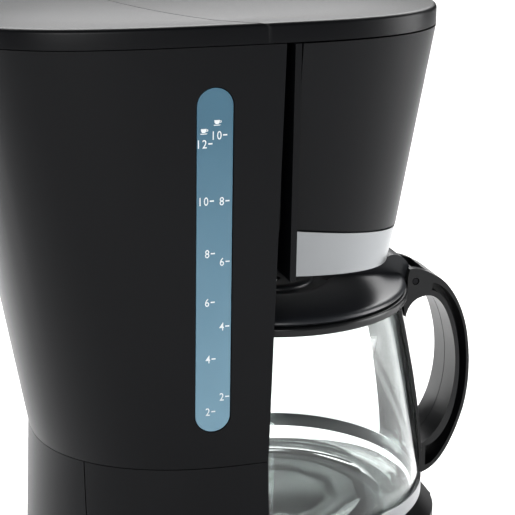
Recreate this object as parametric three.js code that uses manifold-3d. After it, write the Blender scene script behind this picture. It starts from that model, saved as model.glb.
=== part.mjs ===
// Drip coffee maker: oval water column, swing-out filter housing, hot plate and glass jug.
// Millimetres, +Z up, +X is the front. The jug's axis is the model's own Z axis until the end,
// where the whole group is moved so that the origin lies under the middle of its outer box.
import * as THREE from 'three';
import { mergeVertices } from 'three/addons/utils/BufferGeometryUtils.js';
import Module from 'manifold-3d';

const wasm = await Module();
wasm.setup();

// ---- Driving sizes ---------------------------------------------------------------------

const GAP = 0.35; // space left between pieces that touch
const WALL = 2.6; // moulded wall of the body
const THIN = 2.0; // wall of inner mouldings
const SIDES = 48; // facets round the body
const ROUND = 40; // facets round the jug and the bay

// Heights above the table.
const FOOT_HEIGHT = 3;
const DECK_TOP = 33;
const PLATE_TOP = 36;
const COLUMN_FOOT = 87.3; // joint between base and column
const COLUMN_TOP = 278.8; // joint between column and lids
const LID_BAND = 8.2; // upright band of the lids
const LID_DOME = 4.6; // rise of the lids above their band

// Oval plan of the body: half ovals before and behind PLAN_X.
const PLAN_X = -36.8;
const FRONT_POWER = 3.1;
const TOP_HALF = 83;
const TOP_REAR = 115.8;
const TOP_REAR_POWER = 3.5;
const TOP_FRONT = 104;
const WAIST_HALF = 71.5;
const WAIST_REAR = 84;
const WAIST_REAR_POWER = 2.25;
const SKIRT_HALF = 75.5;
const SKIRT_REAR = 88;
const SKIRT_FRONT = 117;
const SKIRT_FRONT_POWER = 2.4;

// Bay that the jug and the filter housing sit in.
const JUG_CLEARANCE = 1.6;
const WING_FOOT_X = -23.6; // front edge of the column's sides, at its foot
const WING_TOP_X = -19.3; // and at its top
const LID_SPLIT_RADIUS = 87; // round joint between the two lids

// Water gauge in the side of the column.
const GAUGE_X = -49.6;
const GAUGE_WIDTH = 15.6;
const GAUGE_LOW = 105.6;
const GAUGE_HIGH = 261.8;
const GAUGE_BACK = -66; // depth of its slot

// Swing-out filter housing.
const HOUSING_CLEARANCE = 5; // behind the housing's round rear
const HOUSING_BACK_X = -12; // rear edge of the housing's outer skin
const FRAME_THICKNESS = 2.8; // upright frame behind the skin
const FRAME_SHADOW = 0.6; // groove between the two
const FRAME_FOOT = 173.5;
const SWING_X = -7; // hinge line of the housing
const BARREL_RADIUS = 4.4;
const EDGE_HALF = 66.9; // lower edge of the black skin
const EDGE_FRONT = 53;
const EDGE_Z = 192.6;
const EDGE_SLOPE = 0.152;
const BAND_HALF = 60.9; // lower edge of the steel trim
const BAND_FRONT = 49.2;
const BAND_Z = 170;
const BAND_SLOPE = 0.0765;
const TRIM_THICKNESS = 0.8;
const HINGE_RADIUS = 1.9;
const BASKET_CLEARANCE = 12; // between its cone and the housing's rear
const BASKET_FOOT_RADIUS = 26;

// Drip valve.
const VALVE_TIP = 160;
const VALVE_TRAVEL = 3;
const STEM_RADIUS = 2.6;

// Jug.
const JUG_RADIUS = 72.4;
const JUG_WAIST = 12.4; // narrowing from its widest place to its neck
const GLASS = 2.2;
const COLLAR_LIP = 5; // the collar and the lid stand out from the neck by this
const LID_LIP = 3.8;
const COLLAR_FOOT = 143;
const COLLAR_TOP = 147.4;
const LID_RING_TOP = 152.6;
const BOSS_RADIUS = 19;
const BOSS_TOP = 152.4;
const JUG_PIN_Z = 147.4;
const HANDLE_HALF = 14;
const STRAP_HALF = 26; // half width of the thin strap between head and foot
const STRAP = 1.3;
const STRAP_GAP = 0.7; // between the glass and the handle
const BAND_LOW = 43.4; // steel band round the jug
const BAND_HIGH = 50.8;

// Hot plate and heater.
const PLATE_MARGIN = 4.2; // the hot plate is narrower than the jug by this
const PLATE_LEDGE = 6.2; // and laps over its hole by this
const HEATER_MARGIN = 21; // from the hole's edge in to the heater's middle
const HEATER_TUBE = 4.8;
const FUSE_X = -8;
const HOSE_RADIUS = 4;
const DUCT_HALF = 8; // half width of the upright duct in the column

// Switch, gland and feet.
const SWITCH_WIDTH = 12;
const SWITCH_HEIGHT = 18;
const SWITCH_Z = 18.2;
const FOOT_RADIUS = 8;
const GLAND_RADIUS = 5.5;
const GLAND_Y = 30;

// ---- Sizes worked out from them ----------------------------------------------------------

const mix = (a, b, t) => a + (b - a) * t;

const BAY_RADIUS = JUG_RADIUS + JUG_CLEARANCE;
const JUG_NECK_RADIUS = JUG_RADIUS - JUG_WAIST;
const COLLAR_RADIUS = JUG_NECK_RADIUS + COLLAR_LIP;
const LID_RADIUS = JUG_NECK_RADIUS + LID_LIP;
const JUG_PIN_X = COLLAR_RADIUS + 3.4;
const PLATE_RADIUS = JUG_RADIUS - PLATE_MARGIN;
const PLATE_HOLE_RADIUS = PLATE_RADIUS - PLATE_LEDGE;
const HOUSING_REAR_RADIUS = BAY_RADIUS - HOUSING_CLEARANCE;
const BASKET_RADIUS = HOUSING_REAR_RADIUS - BASKET_CLEARANCE;
const TANK_FRONT_RADIUS = BAY_RADIUS + WALL;
const DUCT_REAR_RADIUS = TANK_FRONT_RADIUS + 2.8 * HOSE_RADIUS;
const TANK_FLOOR = COLUMN_FOOT + 12;
const LID_TOP = COLUMN_TOP + GAP + LID_BAND + LID_DOME;
const HINGE_X = PLAN_X - TOP_REAR - 3.1; // tank lid's hinge line
const HINGE_Z = COLUMN_TOP + GAP / 2;
const SWING_Y = mix(WAIST_HALF, TOP_HALF,
  (FRAME_FOOT - COLUMN_FOOT) / (COLUMN_TOP - COLUMN_FOOT)) - BARREL_RADIUS - GAP;
const FRAME_X = HOUSING_BACK_X - FRAME_SHADOW - FRAME_THICKNESS;
const HOUSING_TOP = COLUMN_TOP - GAP;
const FLOOR_TOP = BAND_Z + 2.2;
const HEATER_Z = PLATE_TOP - 0.8 - GAP - HEATER_TUBE;
const HEATER_RADIUS = PLATE_HOLE_RADIUS - HEATER_MARGIN;
const FUSE_END = 13 - HEATER_RADIUS;
const HOSE_X = 4 - PLATE_HOLE_RADIUS; // where the hoses meet the heater
const HOSE_Y = 22;
const HOSE_Z = HEATER_Z - 10.5;
const RISER_X = -(TANK_FRONT_RADIUS + DUCT_REAR_RADIUS) / 2;
const SPRAY_Z = COLUMN_TOP + 1.2;
const INLET_Z = SPRAY_Z + 4.2; // axis of the spray head's inlet
const SWITCH_X = PLAN_X + SKIRT_FRONT;

// ---- Solids -------------------------------------------------------------------------------

/** A closed three.js geometry as a manifold solid, faces turned outwards. */
function solid(geometry) {
  let bare = geometry.clone();
  bare.deleteAttribute('normal');
  bare.deleteAttribute('uv');
  bare = mergeVertices(bare, 1e-4);
  const points = bare.attributes.position.array;
  const index = bare.index.array;
  const triangles = [];
  let volume = 0;
  const corner = (i) => new THREE.Vector3().fromArray(points, 3 * i);
  for (let i = 0; i < index.length; i += 3) {
    const [a, b, c] = [index[i], index[i + 1], index[i + 2]];
    if (a === b || b === c || c === a) continue;
    triangles.push(a, b, c);
    volume += corner(a).dot(corner(b).cross(corner(c)));
  }
  if (volume < 0) triangles.reverse();
  return new wasm.Manifold(new wasm.Mesh({
    numProp: 3,
    vertProperties: Float32Array.from(points),
    triVerts: Uint32Array.from(triangles),
  }));
}

function geometryOf(manifold) {
  const mesh = manifold.getMesh();
  const geometry = new THREE.BufferGeometry();
  geometry.setAttribute('position', new THREE.BufferAttribute(mesh.vertProperties, 3));
  geometry.setIndex(new THREE.BufferAttribute(mesh.triVerts, 1));
  geometry.computeVertexNormals();
  return geometry;
}

function box(x, y, z) {
  const geometry = new THREE.BoxGeometry(x[1] - x[0], y[1] - y[0], z[1] - z[0]);
  geometry.translate((x[0] + x[1]) / 2, (y[0] + y[1]) / 2, (z[0] + z[1]) / 2);
  return solid(geometry);
}

/** Cylinder between two heights on an axis along 'x', 'y' or 'z'. */
function cylinder(radius, low, high, { axis = 'z', at = [0, 0], sides = 24 } = {}) {
  const geometry = new THREE.CylinderGeometry(radius, radius, high - low, sides);
  const middle = (low + high) / 2;
  if (axis === 'z') geometry.rotateX(Math.PI / 2).translate(at[0], at[1], middle);
  if (axis === 'y') geometry.translate(at[0], middle, at[1]);
  if (axis === 'x') geometry.rotateZ(Math.PI / 2).translate(middle, at[0], at[1]);
  return solid(geometry);
}

/** Solid of revolution about Z from [radius, height] points that close on themselves. */
function turned(profile, sides = ROUND) {
  const points = [...profile, profile[0]].map(([r, z]) => new THREE.Vector2(r, z));
  return solid(new THREE.LatheGeometry(points, sides).rotateX(Math.PI / 2));
}

/** Ring with a square section. */
function ring(inner, outer, low, high, sides = ROUND) {
  return turned([[inner, low], [outer, low], [outer, high], [inner, high]], sides);
}

/** Round rod swept along a smooth curve through the points. */
function tube(points, radius, { sides = 10, steps = 30 } = {}) {
  const vectors = points.map((p) => new THREE.Vector3(...p));
  const path = new THREE.CatmullRomCurve3(vectors);
  const section = new THREE.Shape().absarc(0, 0, radius, 0, 2 * Math.PI);
  return solid(new THREE.ExtrudeGeometry(section, {
    extrudePath: path, steps, curveSegments: sides / 2, bevelEnabled: false,
  }));
}

/** Outline in the XZ plane, extruded along Y between two values. */
function slab(outline, low, high) {
  const shape = outline instanceof THREE.Shape ? outline
    : new THREE.Shape(outline.map(([x, z]) => new THREE.Vector2(x, z)));
  const geometry = new THREE.ExtrudeGeometry(shape, {
    depth: high - low, bevelEnabled: false, curveSegments: 6,
  });
  return solid(geometry.rotateX(Math.PI / 2).translate(0, high, 0));
}

/** Point of a body section at an angle about the plan's centre. */
function ovalPoint(angle, level) {
  const [c, s] = [Math.cos(angle), Math.sin(angle)];
  const power = c < 0 ? level.rearPower : level.frontPower;
  const reach = c < 0 ? level.rear : level.front;
  const bend = (v) => (Math.abs(v) < 1e-9 ? 0 : Math.sign(v) * Math.abs(v) ** (2 / power));
  return [PLAN_X + reach * bend(c), level.half * bend(s)];
}

/** Skin through oval sections, each at its own height, tilted by its slope. */
function loft(levels, sides = SIDES) {
  const corners = Array.from({ length: sides }, (_, i) => {
    const angle = (2 * Math.PI * i) / sides;
    return new THREE.Vector2(Math.cos(angle), Math.sin(angle));
  });
  const steps = levels.length - 1;
  const geometry = new THREE.ExtrudeGeometry(new THREE.Shape(corners), {
    depth: steps, steps, bevelEnabled: false,
  });
  const position = geometry.attributes.position;
  for (let i = 0; i < position.count; i += 1) {
    const level = levels[Math.round(position.getZ(i))];
    const [x, y] = ovalPoint(Math.atan2(position.getY(i), position.getX(i)), level);
    position.setXYZ(i, x, y, level.z - (level.slope ?? 0) * x);
  }
  return solid(geometry);
}

// ---- Body sections --------------------------------------------------------------------------

/** Section of the column at a height, drawn in by an inset. */
function columnLevel(z, inset = 0) {
  const t = (z - COLUMN_FOOT) / (COLUMN_TOP - COLUMN_FOOT);
  return {
    z,
    half: mix(WAIST_HALF, TOP_HALF, t) - inset,
    rear: mix(WAIST_REAR, TOP_REAR, t) - inset,
    front: TOP_FRONT - inset,
    rearPower: mix(WAIST_REAR_POWER, TOP_REAR_POWER, t),
    frontPower: FRONT_POWER,
  };
}

function baseLevel(z, inset = 0) {
  const t = (z - FOOT_HEIGHT) / (COLUMN_FOOT - FOOT_HEIGHT);
  return {
    z,
    half: mix(SKIRT_HALF, WAIST_HALF, t) - inset,
    rear: mix(SKIRT_REAR, WAIST_REAR, t) - inset,
    front: SKIRT_FRONT - inset,
    rearPower: WAIST_REAR_POWER,
    frontPower: SKIRT_FRONT_POWER,
  };
}

function topLevel(z, inset) {
  return { ...columnLevel(COLUMN_TOP, inset), z };
}

/** Front of the filter housing between its top and the steel trim's lower edge. */
function housingLevels(inset, foot) {
  const common = { rear: 60, rearPower: 4, frontPower: FRONT_POWER };
  const edge = { half: EDGE_HALF - inset, front: EDGE_FRONT - PLAN_X - inset, z: EDGE_Z,
    slope: EDGE_SLOPE, ...common };
  const band = { half: BAND_HALF - inset, front: BAND_FRONT - PLAN_X - inset, z: BAND_Z + foot,
    slope: BAND_SLOPE, ...common };
  const top = { half: TOP_HALF - inset, front: TOP_FRONT - inset, z: HOUSING_TOP, ...common };
  return { top, edge, band };
}

const WIDE = 400;
const ahead = (x) => box([x, WIDE], [-WIDE, WIDE], [-10, 400]);
const behind = (x) => box([-WIDE, x], [-WIDE, WIDE], [-10, 400]);

// ---- Base ---------------------------------------------------------------------------------

function baseHollow() {
  const floor = loft([baseLevel(-1, WALL), baseLevel(DECK_TOP - WALL, WALL)]);
  const riser = loft([baseLevel(0, WALL), baseLevel(COLUMN_FOOT + 5, WALL)])
    .subtract(cylinder(BAY_RADIUS + WALL, 0, 200, { sides: ROUND }))
    .subtract(ahead(WING_FOOT_X - WALL));
  return floor.add(riser);
}

function baseShells() {
  let shell = loft([baseLevel(FOOT_HEIGHT), baseLevel(COLUMN_FOOT)])
    .subtract(ahead(WING_FOOT_X).intersect(box([-WIDE, WIDE], [-WIDE, WIDE], [DECK_TOP, 200])))
    .subtract(cylinder(BAY_RADIUS, DECK_TOP, 200, { sides: ROUND }))
    .subtract(baseHollow())
    .subtract(cylinder(PLATE_HOLE_RADIUS, 0, 60, { sides: 48 }))
    .subtract(box([SWITCH_X - 20, SWITCH_X + 20],
      [-SWITCH_WIDTH / 2 - 2 - GAP, SWITCH_WIDTH / 2 + 2 + GAP],
      [SWITCH_Z - SWITCH_HEIGHT / 2 - 2 - GAP, SWITCH_Z + SWITCH_HEIGHT / 2 + 2 + GAP]))
    .subtract(cylinder(GLAND_RADIUS + GAP, -180, -90, { axis: 'x', at: [GLAND_Y, 18] }));
  const posts = [];
  for (const [x, y] of SCREW_PLACES) {
    posts.push(cylinder(3.6, 9, DECK_TOP - WALL / 2, { at: [x, y], sides: 12 })
      .subtract(cylinder(1.5, 8, 24, { at: [x, y], sides: 12 })));
  }
  shell = posts.reduce((whole, post) => whole.add(post), shell);
  return {
    base_shell: shell.intersect(ahead(REAR_COVER_X + GAP)),
    base_rear_cover: shell.intersect(behind(REAR_COVER_X)),
  };
}

const REAR_COVER_X = -103.7;
const RING_SCREW = 0.75 * (BAY_RADIUS - 6); // under the rim of the bay
const SCREW_PLACES = [[62, 34], [62, -34], [-0.88 * RING_SCREW, RING_SCREW],
  [-0.88 * RING_SCREW, -RING_SCREW]];
const FOOT_PLACES = { front_left: [45, 43], front_right: [45, -43],
  rear_left: [-92, 42], rear_right: [-92, -42] };

function basePlate() {
  let plate = loft([baseLevel(FOOT_HEIGHT, WALL + GAP), baseLevel(FOOT_HEIGHT + THIN, WALL + GAP)]);
  for (const place of SCREW_PLACES) {
    plate = plate.subtract(cylinder(1.8, 0, 10, { at: place, sides: 12 }));
  }
  for (let row = -3; row <= 3; row += 1) {
    plate = plate.subtract(box([-20, 20], [row * 8 - 1.5, row * 8 + 1.5], [0, 10]));
  }
  return plate;
}

function baseScrew([x, y]) {
  const head = cylinder(3.2, FOOT_HEIGHT - 2, FOOT_HEIGHT - GAP, { at: [x, y], sides: 12 });
  return head.add(cylinder(1.2, FOOT_HEIGHT - 1, 18, { at: [x, y], sides: 10 }));
}

function foot(place) {
  return cylinder(FOOT_RADIUS, 0, FOOT_HEIGHT - GAP, { at: place, sides: 16 });
}

function hotPlate() {
  const rim = PLATE_RADIUS;
  const under = PLATE_TOP - 0.8;
  return turned([
    [0, PLATE_TOP], [rim - 1, PLATE_TOP], [rim, PLATE_TOP - 1], [rim, DECK_TOP + GAP],
    [rim - 0.8, DECK_TOP + GAP], [rim - 0.8, under], [PLATE_HOLE_RADIUS - 1, under],
    [PLATE_HOLE_RADIUS - 1, HEATER_Z], [PLATE_HOLE_RADIUS - 1.8, HEATER_Z],
    [PLATE_HOLE_RADIUS - 1.8, under], [0, under],
  ]).add(cylinder(3, HEATER_Z - 3, under + 0.4, { sides: 12 })
    .subtract(cylinder(1.4, 0, HEATER_Z + 1, { sides: 12 })));
}

function plateSeal() {
  return ring(PLATE_HOLE_RADIUS + 0.6, PLATE_RADIUS - 0.8 - GAP, DECK_TOP + GAP,
    PLATE_TOP - 0.8 - GAP, 40);
}

/** Water tube of the heater: a hoop with both ends turned to the rear. */
function heaterTube() {
  const end = (side) => [[HOSE_X + 15, side * 23, HEATER_Z - 2],
    [HOSE_X + 9.5, side * 22.4, HEATER_Z - 8], [HOSE_X + 4.5, side * HOSE_Y, HOSE_Z],
    [HOSE_X + GAP, side * HOSE_Y, HOSE_Z]];
  const points = end(-1).reverse();
  for (let angle = -145; angle <= 145; angle += 29) {
    const turn = THREE.MathUtils.degToRad(angle);
    points.push([HEATER_RADIUS * Math.cos(turn), HEATER_RADIUS * Math.sin(turn), HEATER_Z]);
  }
  return tube([...points, ...end(1)], HEATER_TUBE, { steps: 36 });
}

function heaterClamp() {
  const low = HEATER_Z - HEATER_TUBE - GAP;
  return box([-8, 8], [-HEATER_RADIUS - 9, HEATER_RADIUS + 9], [low - 2, low]).subtract(cylinder(2, 0, 60, { sides: 12 }));
}

function clampScrew() {
  const low = HEATER_Z - HEATER_TUBE - GAP - 2;
  return cylinder(3.4, low - 2.4, low - GAP, { sides: 12 })
    .add(cylinder(1.1, low - 1, HEATER_Z - 0.6, { sides: 10 }));
}

function thermostat() {
  const top = PLATE_TOP - 0.8 - GAP;
  const x = HEATER_RADIUS - 18;
  return cylinder(7.5, top - 6, top, { at: [x, 0], sides: 20 })
    .add(box([x - 6, x + 6], [-1.5, 1.5], [top - 9, top - 5]));
}

function thermalFuse() {
  const end = FUSE_END;
  return cylinder(2.2, end + 4, end + 16, { axis: 'y', at: [FUSE_X, HEATER_Z], sides: 12 })
    .add(cylinder(0.8, end, end + 19, { axis: 'y', at: [FUSE_X, HEATER_Z], sides: 8 }));
}

const OUTLET = [-104, -22];

function coldHose() {
  const [x, y] = OUTLET;
  return tube([
    [x, y, COLUMN_FOOT - 14.6], [x, y, COLUMN_FOOT - 38], [x + 3, y, HOSE_Z + 10],
    [x + 14, y, HOSE_Z + 1], [HOSE_X - 16, -HOSE_Y, HOSE_Z], [HOSE_X - GAP, -HOSE_Y, HOSE_Z],
  ], HOSE_RADIUS, { steps: 16 });
}

function riserTube() {
  const x = RISER_X;
  return tube([
    [HOSE_X - GAP, HOSE_Y, HOSE_Z], [HOSE_X - 13, HOSE_Y, HOSE_Z], [x - 3, 15, HOSE_Z + 8],
    [x, 3, COLUMN_FOOT - 30], [x, 0, COLUMN_FOOT], [x, 0, 150], [x, 0, 220],
    [x, 0, COLUMN_TOP - 3], [x + 5.5, 0, INLET_Z - 0.6], [x + 20, 0, INLET_Z],
    [-34, 0, INLET_Z],
  ], HOSE_RADIUS - 0.8, { steps: 40 });
}

function checkValve() {
  const top = COLUMN_FOOT + 4;
  return cylinder(HOSE_RADIUS + 1.6, top - 14, top, { at: OUTLET, sides: 16 })
    .add(cylinder(HOSE_RADIUS - 1, top - 18, top - 12, { at: OUTLET, sides: 12 }));
}

function outletGrommet() {
  const x = OUTLET[0];
  return turned([
    [2.5, TANK_FLOOR - 6], [7, TANK_FLOOR - 6], [7, TANK_FLOOR - WALL - GAP],
    [5, TANK_FLOOR - WALL - GAP], [5, TANK_FLOOR + GAP], [7, TANK_FLOOR + GAP],
    [7, TANK_FLOOR + 2], [2.5, TANK_FLOOR + 2],
  ], 20).translate([x, OUTLET[1], 0]);
}

function switchFrame() {
  const [w, h] = [SWITCH_WIDTH / 2, SWITCH_HEIGHT / 2];
  const x = SWITCH_X;
  return box([x - 13, x + 1], [-w - 2, w + 2], [SWITCH_Z - h - 2, SWITCH_Z + h + 2])
    .add(box([x + GAP, x + 1.6], [-w - 3.4, w + 3.4], [SWITCH_Z - h - 3.4, SWITCH_Z + h + 3.4]))
    .subtract(box([x - 11, x + 9], [-w - 0.5, w + 0.5],
      [SWITCH_Z - h - 0.8, SWITCH_Z + h + 0.8]));
}

function rockerSwitch() {
  const [w, h] = [SWITCH_WIDTH / 2, SWITCH_HEIGHT / 2];
  const x = SWITCH_X;
  const outline = [[x - 7, SWITCH_Z - h + 1.6], [x + 2.4, SWITCH_Z - h + 0.6], [x + 2, SWITCH_Z],
    [x + 4, SWITCH_Z + h - 1], [x - 7, SWITCH_Z + h - 1.6]];
  return slab(outline, -w, w);
}

function cordGland() {
  const x = PLAN_X - SKIRT_REAR + 4;
  const bore = cylinder(3.2, x - 30, x + 30, { axis: 'x', at: [GLAND_Y, 18], sides: 16 });
  return cylinder(GLAND_RADIUS, x - 5, x + 14, { axis: 'x', at: [GLAND_Y, 18], sides: 20 })
    .add(cylinder(GLAND_RADIUS + 1.6, x + 12, x + 15, { axis: 'x', at: [GLAND_Y, 18], sides: 20 }))
    .subtract(bore);
}

/** Insulated lead laid on the base plate between two places. */
function lead(from, to, side) {
  const low = FOOT_HEIGHT + THIN + 4;
  const aside = side * (RING_SCREW - 9);
  return tube([from, [mix(from[0], to[0], 0.15), aside, low], [mix(from[0], to[0], 0.5), aside, low],
    [mix(from[0], to[0], 0.85), 0.7 * aside, low + 4], to], 1, { sides: 6, steps: 16 });
}

// ---- Column and lids ------------------------------------------------------------------------

/** Upright prism with round ends, its faces turned to the sides of the body. */
function gaugePrism(margin, near, far) {
  const radius = GAUGE_WIDTH / 2 + margin;
  const low = GAUGE_LOW + GAUGE_WIDTH / 2;
  const high = GAUGE_HIGH - GAUGE_WIDTH / 2;
  const shape = new THREE.Shape();
  shape.absarc(GAUGE_X, high, radius, 0, Math.PI);
  shape.absarc(GAUGE_X, low, radius, Math.PI, 2 * Math.PI);
  shape.closePath();
  return slab(shape, near, far);
}

function wingCut(from, foot, extra = 0) {
  const run = (WING_TOP_X - WING_FOOT_X) / (COLUMN_TOP - COLUMN_FOOT);
  const low = WING_FOOT_X + (foot - COLUMN_FOOT) * run + from;
  const high = WING_TOP_X + extra * run + from;
  return slab([[low, foot], [WIDE, foot], [WIDE, COLUMN_TOP + extra], [high, COLUMN_TOP + extra]],
    -WIDE, WIDE);
}

function tankBody() {
  const outer = loft([columnLevel(COLUMN_FOOT + GAP), columnLevel(COLUMN_TOP)])
    .subtract(cylinder(BAY_RADIUS, 0, 400, { sides: ROUND }))
    .subtract(wingCut(0, COLUMN_FOOT - 5, 5));
  const inner = (low, high) => loft([columnLevel(low, WALL), columnLevel(high, WALL)])
    .subtract(cylinder(TANK_FRONT_RADIUS, 0, 400, { sides: ROUND }))
    .subtract(wingCut(-WALL, COLUMN_FOOT - 10, 30));
  const duct = box([-DUCT_REAR_RADIUS, -TANK_FRONT_RADIUS + 0.6], [-DUCT_HALF, DUCT_HALF],
    [0, 400]);
  const ductWall = box([-DUCT_REAR_RADIUS - THIN, -BAY_RADIUS - 1],
    [-DUCT_HALF - THIN, DUCT_HALF + THIN], [0, 400]);
  let body = outer
    .subtract(inner(TANK_FLOOR, COLUMN_TOP + 5).subtract(ductWall))
    .subtract(inner(COLUMN_FOOT - 5, TANK_FLOOR - WALL))
    .subtract(duct)
    .subtract(cylinder(5 + GAP, 0, TANK_FLOOR + 5, { at: OUTLET, sides: 20 }))
    .subtract(gaugePrism(GAP, -110, GAUGE_BACK));
  for (const side of [-1, 1]) {
    const span = [Math.min(side * 20.4, side * 32), Math.max(side * 20.4, side * 32)];
    body = body.add(lidKnuckle(span, [COLUMN_TOP - 6, COLUMN_TOP]));
  }
  body = body.subtract(cylinder(1.7, -34, 34, { axis: 'y', at: [HINGE_X, HINGE_Z], sides: 12 }));
  return body.add(swingLug());
}

/** Lower lug that carries the filter housing's hinge pin. */
function swingLug() {
  const [low, high] = [FRAME_FOOT - 6.5, FRAME_FOOT - GAP];
  return box([WING_FOOT_X - 2, SWING_X], [SWING_Y - 3.6, SWING_Y + 6], [low, high])
    .add(cylinder(BARREL_RADIUS, low, high, { at: [SWING_X, SWING_Y], sides: 20 }))
    .subtract(cylinder(BAY_RADIUS, 0, 400, { sides: ROUND }).intersect(behind(WING_TOP_X)))
    .intersect(loft([columnLevel(COLUMN_FOOT, 0.4), columnLevel(COLUMN_TOP, 0.4)]))
    .subtract(cylinder(HINGE_RADIUS + GAP, low + 1.5, high + 1,
      { at: [SWING_X, SWING_Y], sides: 14 }));
}

/** Barrel of the tank lid's hinge with the web that joins it to the body. */
function lidKnuckle(span, webHeight) {
  return cylinder(2.9, span[0], span[1], { axis: 'y', at: [HINGE_X, HINGE_Z], sides: 16 })
    .intersect(box([-WIDE, WIDE], span, [webHeight[0], webHeight[1] + 4]))
    .add(cylinder(2.9, span[0], span[1], { axis: 'y', at: [HINGE_X, HINGE_Z], sides: 16 }))
    .add(box([HINGE_X, HINGE_X + 4.6], span, webHeight));
}

function gaugeWindow() {
  const skin = loft([columnLevel(COLUMN_FOOT, 0.25), columnLevel(COLUMN_TOP, 0.25)])
    .subtract(loft([columnLevel(COLUMN_FOOT - 5, WALL), columnLevel(COLUMN_TOP + 5, WALL)]));
  return skin.intersect(gaugePrism(0, -110, GAUGE_BACK));
}

/** Outer shape of both lids together, drawn in by an inset. */
function crown(inset) {
  const foot = COLUMN_TOP + GAP;
  const top = foot + LID_BAND - inset;
  const low = inset > 0 ? foot - 5 : foot;
  return loft([
    topLevel(low, inset), topLevel(top - 1.2, inset), topLevel(top, inset + 1.2),
    topLevel(top + LID_DOME * 0.3, inset + 6), topLevel(top + LID_DOME * 0.74, inset + 28),
    topLevel(top + LID_DOME, inset + 62),
  ]);
}

function tankLid() {
  const outside = (wall) => crown(wall)
    .subtract(cylinder(LID_SPLIT_RADIUS + GAP + wall, 200, 400, { sides: ROUND }));
  return outside(0).subtract(outside(WALL))
    .add(lidKnuckle([-19.8, 19.8], [COLUMN_TOP + GAP, COLUMN_TOP + 5]))
    .subtract(cylinder(1.7, -34, 34, { axis: 'y', at: [HINGE_X, HINGE_Z], sides: 12 }));
}

function tankLidPin() {
  return cylinder(1.35, -31.6, 31.6, { axis: 'y', at: [HINGE_X, HINGE_Z], sides: 12 });
}

function frontCap() {
  const inside = (wall) => crown(wall)
    .intersect(cylinder(LID_SPLIT_RADIUS - wall, 200, 400, { sides: ROUND }));
  const boss = cylinder(BARREL_RADIUS, COLUMN_TOP + GAP, LID_TOP,
    { at: [SWING_X, SWING_Y] }).intersect(crown(0.4));
  return inside(0).subtract(inside(WALL)).add(boss)
    .subtract(cylinder(HINGE_RADIUS + GAP, 270, COLUMN_TOP + 6,
      { at: [SWING_X, SWING_Y], sides: 14 }));
}

function headPlate() {
  const low = COLUMN_TOP + GAP;
  return loft([topLevel(low, WALL + GAP), topLevel(low + THIN, WALL + GAP)])
    .intersect(cylinder(LID_SPLIT_RADIUS - WALL - GAP, 200, 400, { sides: ROUND }))
    .intersect(ahead(-60))
    .subtract(cylinder(30, 200, 400, { sides: 32 }))
    .subtract(cylinder(BARREL_RADIUS + GAP, 200, 400, { at: [SWING_X, SWING_Y], sides: 20 }))
    .subtract(box([-90, 0], [-6, 6], [200, 400]));
}

function sprayHead() {
  let head = cylinder(29.4, COLUMN_TOP + GAP, SPRAY_Z + 1.2, { sides: 32 })
    .add(cylinder(9, SPRAY_Z + 1, INLET_Z + 4.2, { sides: 20 }))
    .add(cylinder(4.4, -33.4, 0, { axis: 'x', at: [0, INLET_Z], sides: 16 }))
    .subtract(cylinder(2, -40, -4, { axis: 'x', at: [0, INLET_Z], sides: 10 }))
    .subtract(cylinder(3, 200, SPRAY_Z + 5, { sides: 12 }));
  for (let hole = 0; hole < 6; hole += 1) {
    const turn = (hole * Math.PI) / 3;
    head = head.subtract(cylinder(1.4, 200, 400,
      { at: [20 * Math.cos(turn), 20 * Math.sin(turn)], sides: 8 }));
  }
  return head;
}

// ---- Filter housing ---------------------------------------------------------------------------

function housingBody(inset, lift) {
  const { top, edge, band } = housingLevels(inset, lift);
  const raised = lift > 0 ? { ...top, z: HOUSING_TOP + 5 } : top;
  const front = loft([band, edge, raised]).intersect(ahead(HOUSING_BACK_X + inset));
  const low = BAND_Z + lift;
  const foot = HOUSING_REAR_RADIUS - 16 - inset;
  const high = raised.z;
  const bowl = turned([[0, low], [foot, low], [HOUSING_REAR_RADIUS - 6 - inset, EDGE_Z + 2],
    [HOUSING_REAR_RADIUS - inset, high], [0, high]]);
  return { front, bowl: bowl.intersect(behind(HOUSING_BACK_X + inset + 3)) };
}

/** Filter housing's moulding, recessed for its steel trim. */
function filterHousing() {
  const outside = housingBody(0, 0);
  const inside = housingBody(WALL, FLOOR_TOP - BAND_Z);
  const column = loft([columnLevel(COLUMN_FOOT, 0.4), columnLevel(COLUMN_TOP, 0.4)]);
  const frame = box([FRAME_X, FRAME_X + FRAME_THICKNESS], [-WIDE, SWING_Y + 7],
    [FRAME_FOOT, HOUSING_TOP]).intersect(column);
  const barrel = cylinder(BARREL_RADIUS, FRAME_FOOT, HOUSING_TOP,
    { at: [SWING_X, SWING_Y], sides: 20 })
    .add(box([FRAME_X, SWING_X], [SWING_Y - 3, SWING_Y + 3], [FRAME_FOOT, HOUSING_TOP]))
    .intersect(column);
  const recess = trimZone(-2, 0).intersect(ahead(HOUSING_BACK_X))
    .subtract(loft(trimLevels(TRIM_THICKNESS + GAP)));
  const body = outside.front.add(outside.bowl);
  const seat = body.intersect(cylinder(18, 0, FLOOR_TOP, { sides: 24 }));
  return body.add(frame)
    .subtract(inside.front.add(inside.bowl))
    .subtract(cylinder(18, FLOOR_TOP, FLOOR_TOP + 3, { sides: 24 }))
    .add(seat)
    .subtract(recess)
    .add(barrel)
    .subtract(cylinder(STEM_RADIUS + 1.2, 100, 200, { sides: 16 }))
    .subtract(cylinder(HINGE_RADIUS + GAP, 100, 400, { at: [SWING_X, SWING_Y], sides: 14 }));
}

/** Space between the trim's lower edge and the black skin's edge, moved by two offsets. */
function trimZone(low, high) {
  const { top, edge, band } = housingLevels(-4, 0);
  return loft([
    { ...band, z: BAND_Z + low },
    { ...edge, half: top.half, front: top.front, z: EDGE_Z + high },
  ]);
}

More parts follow.
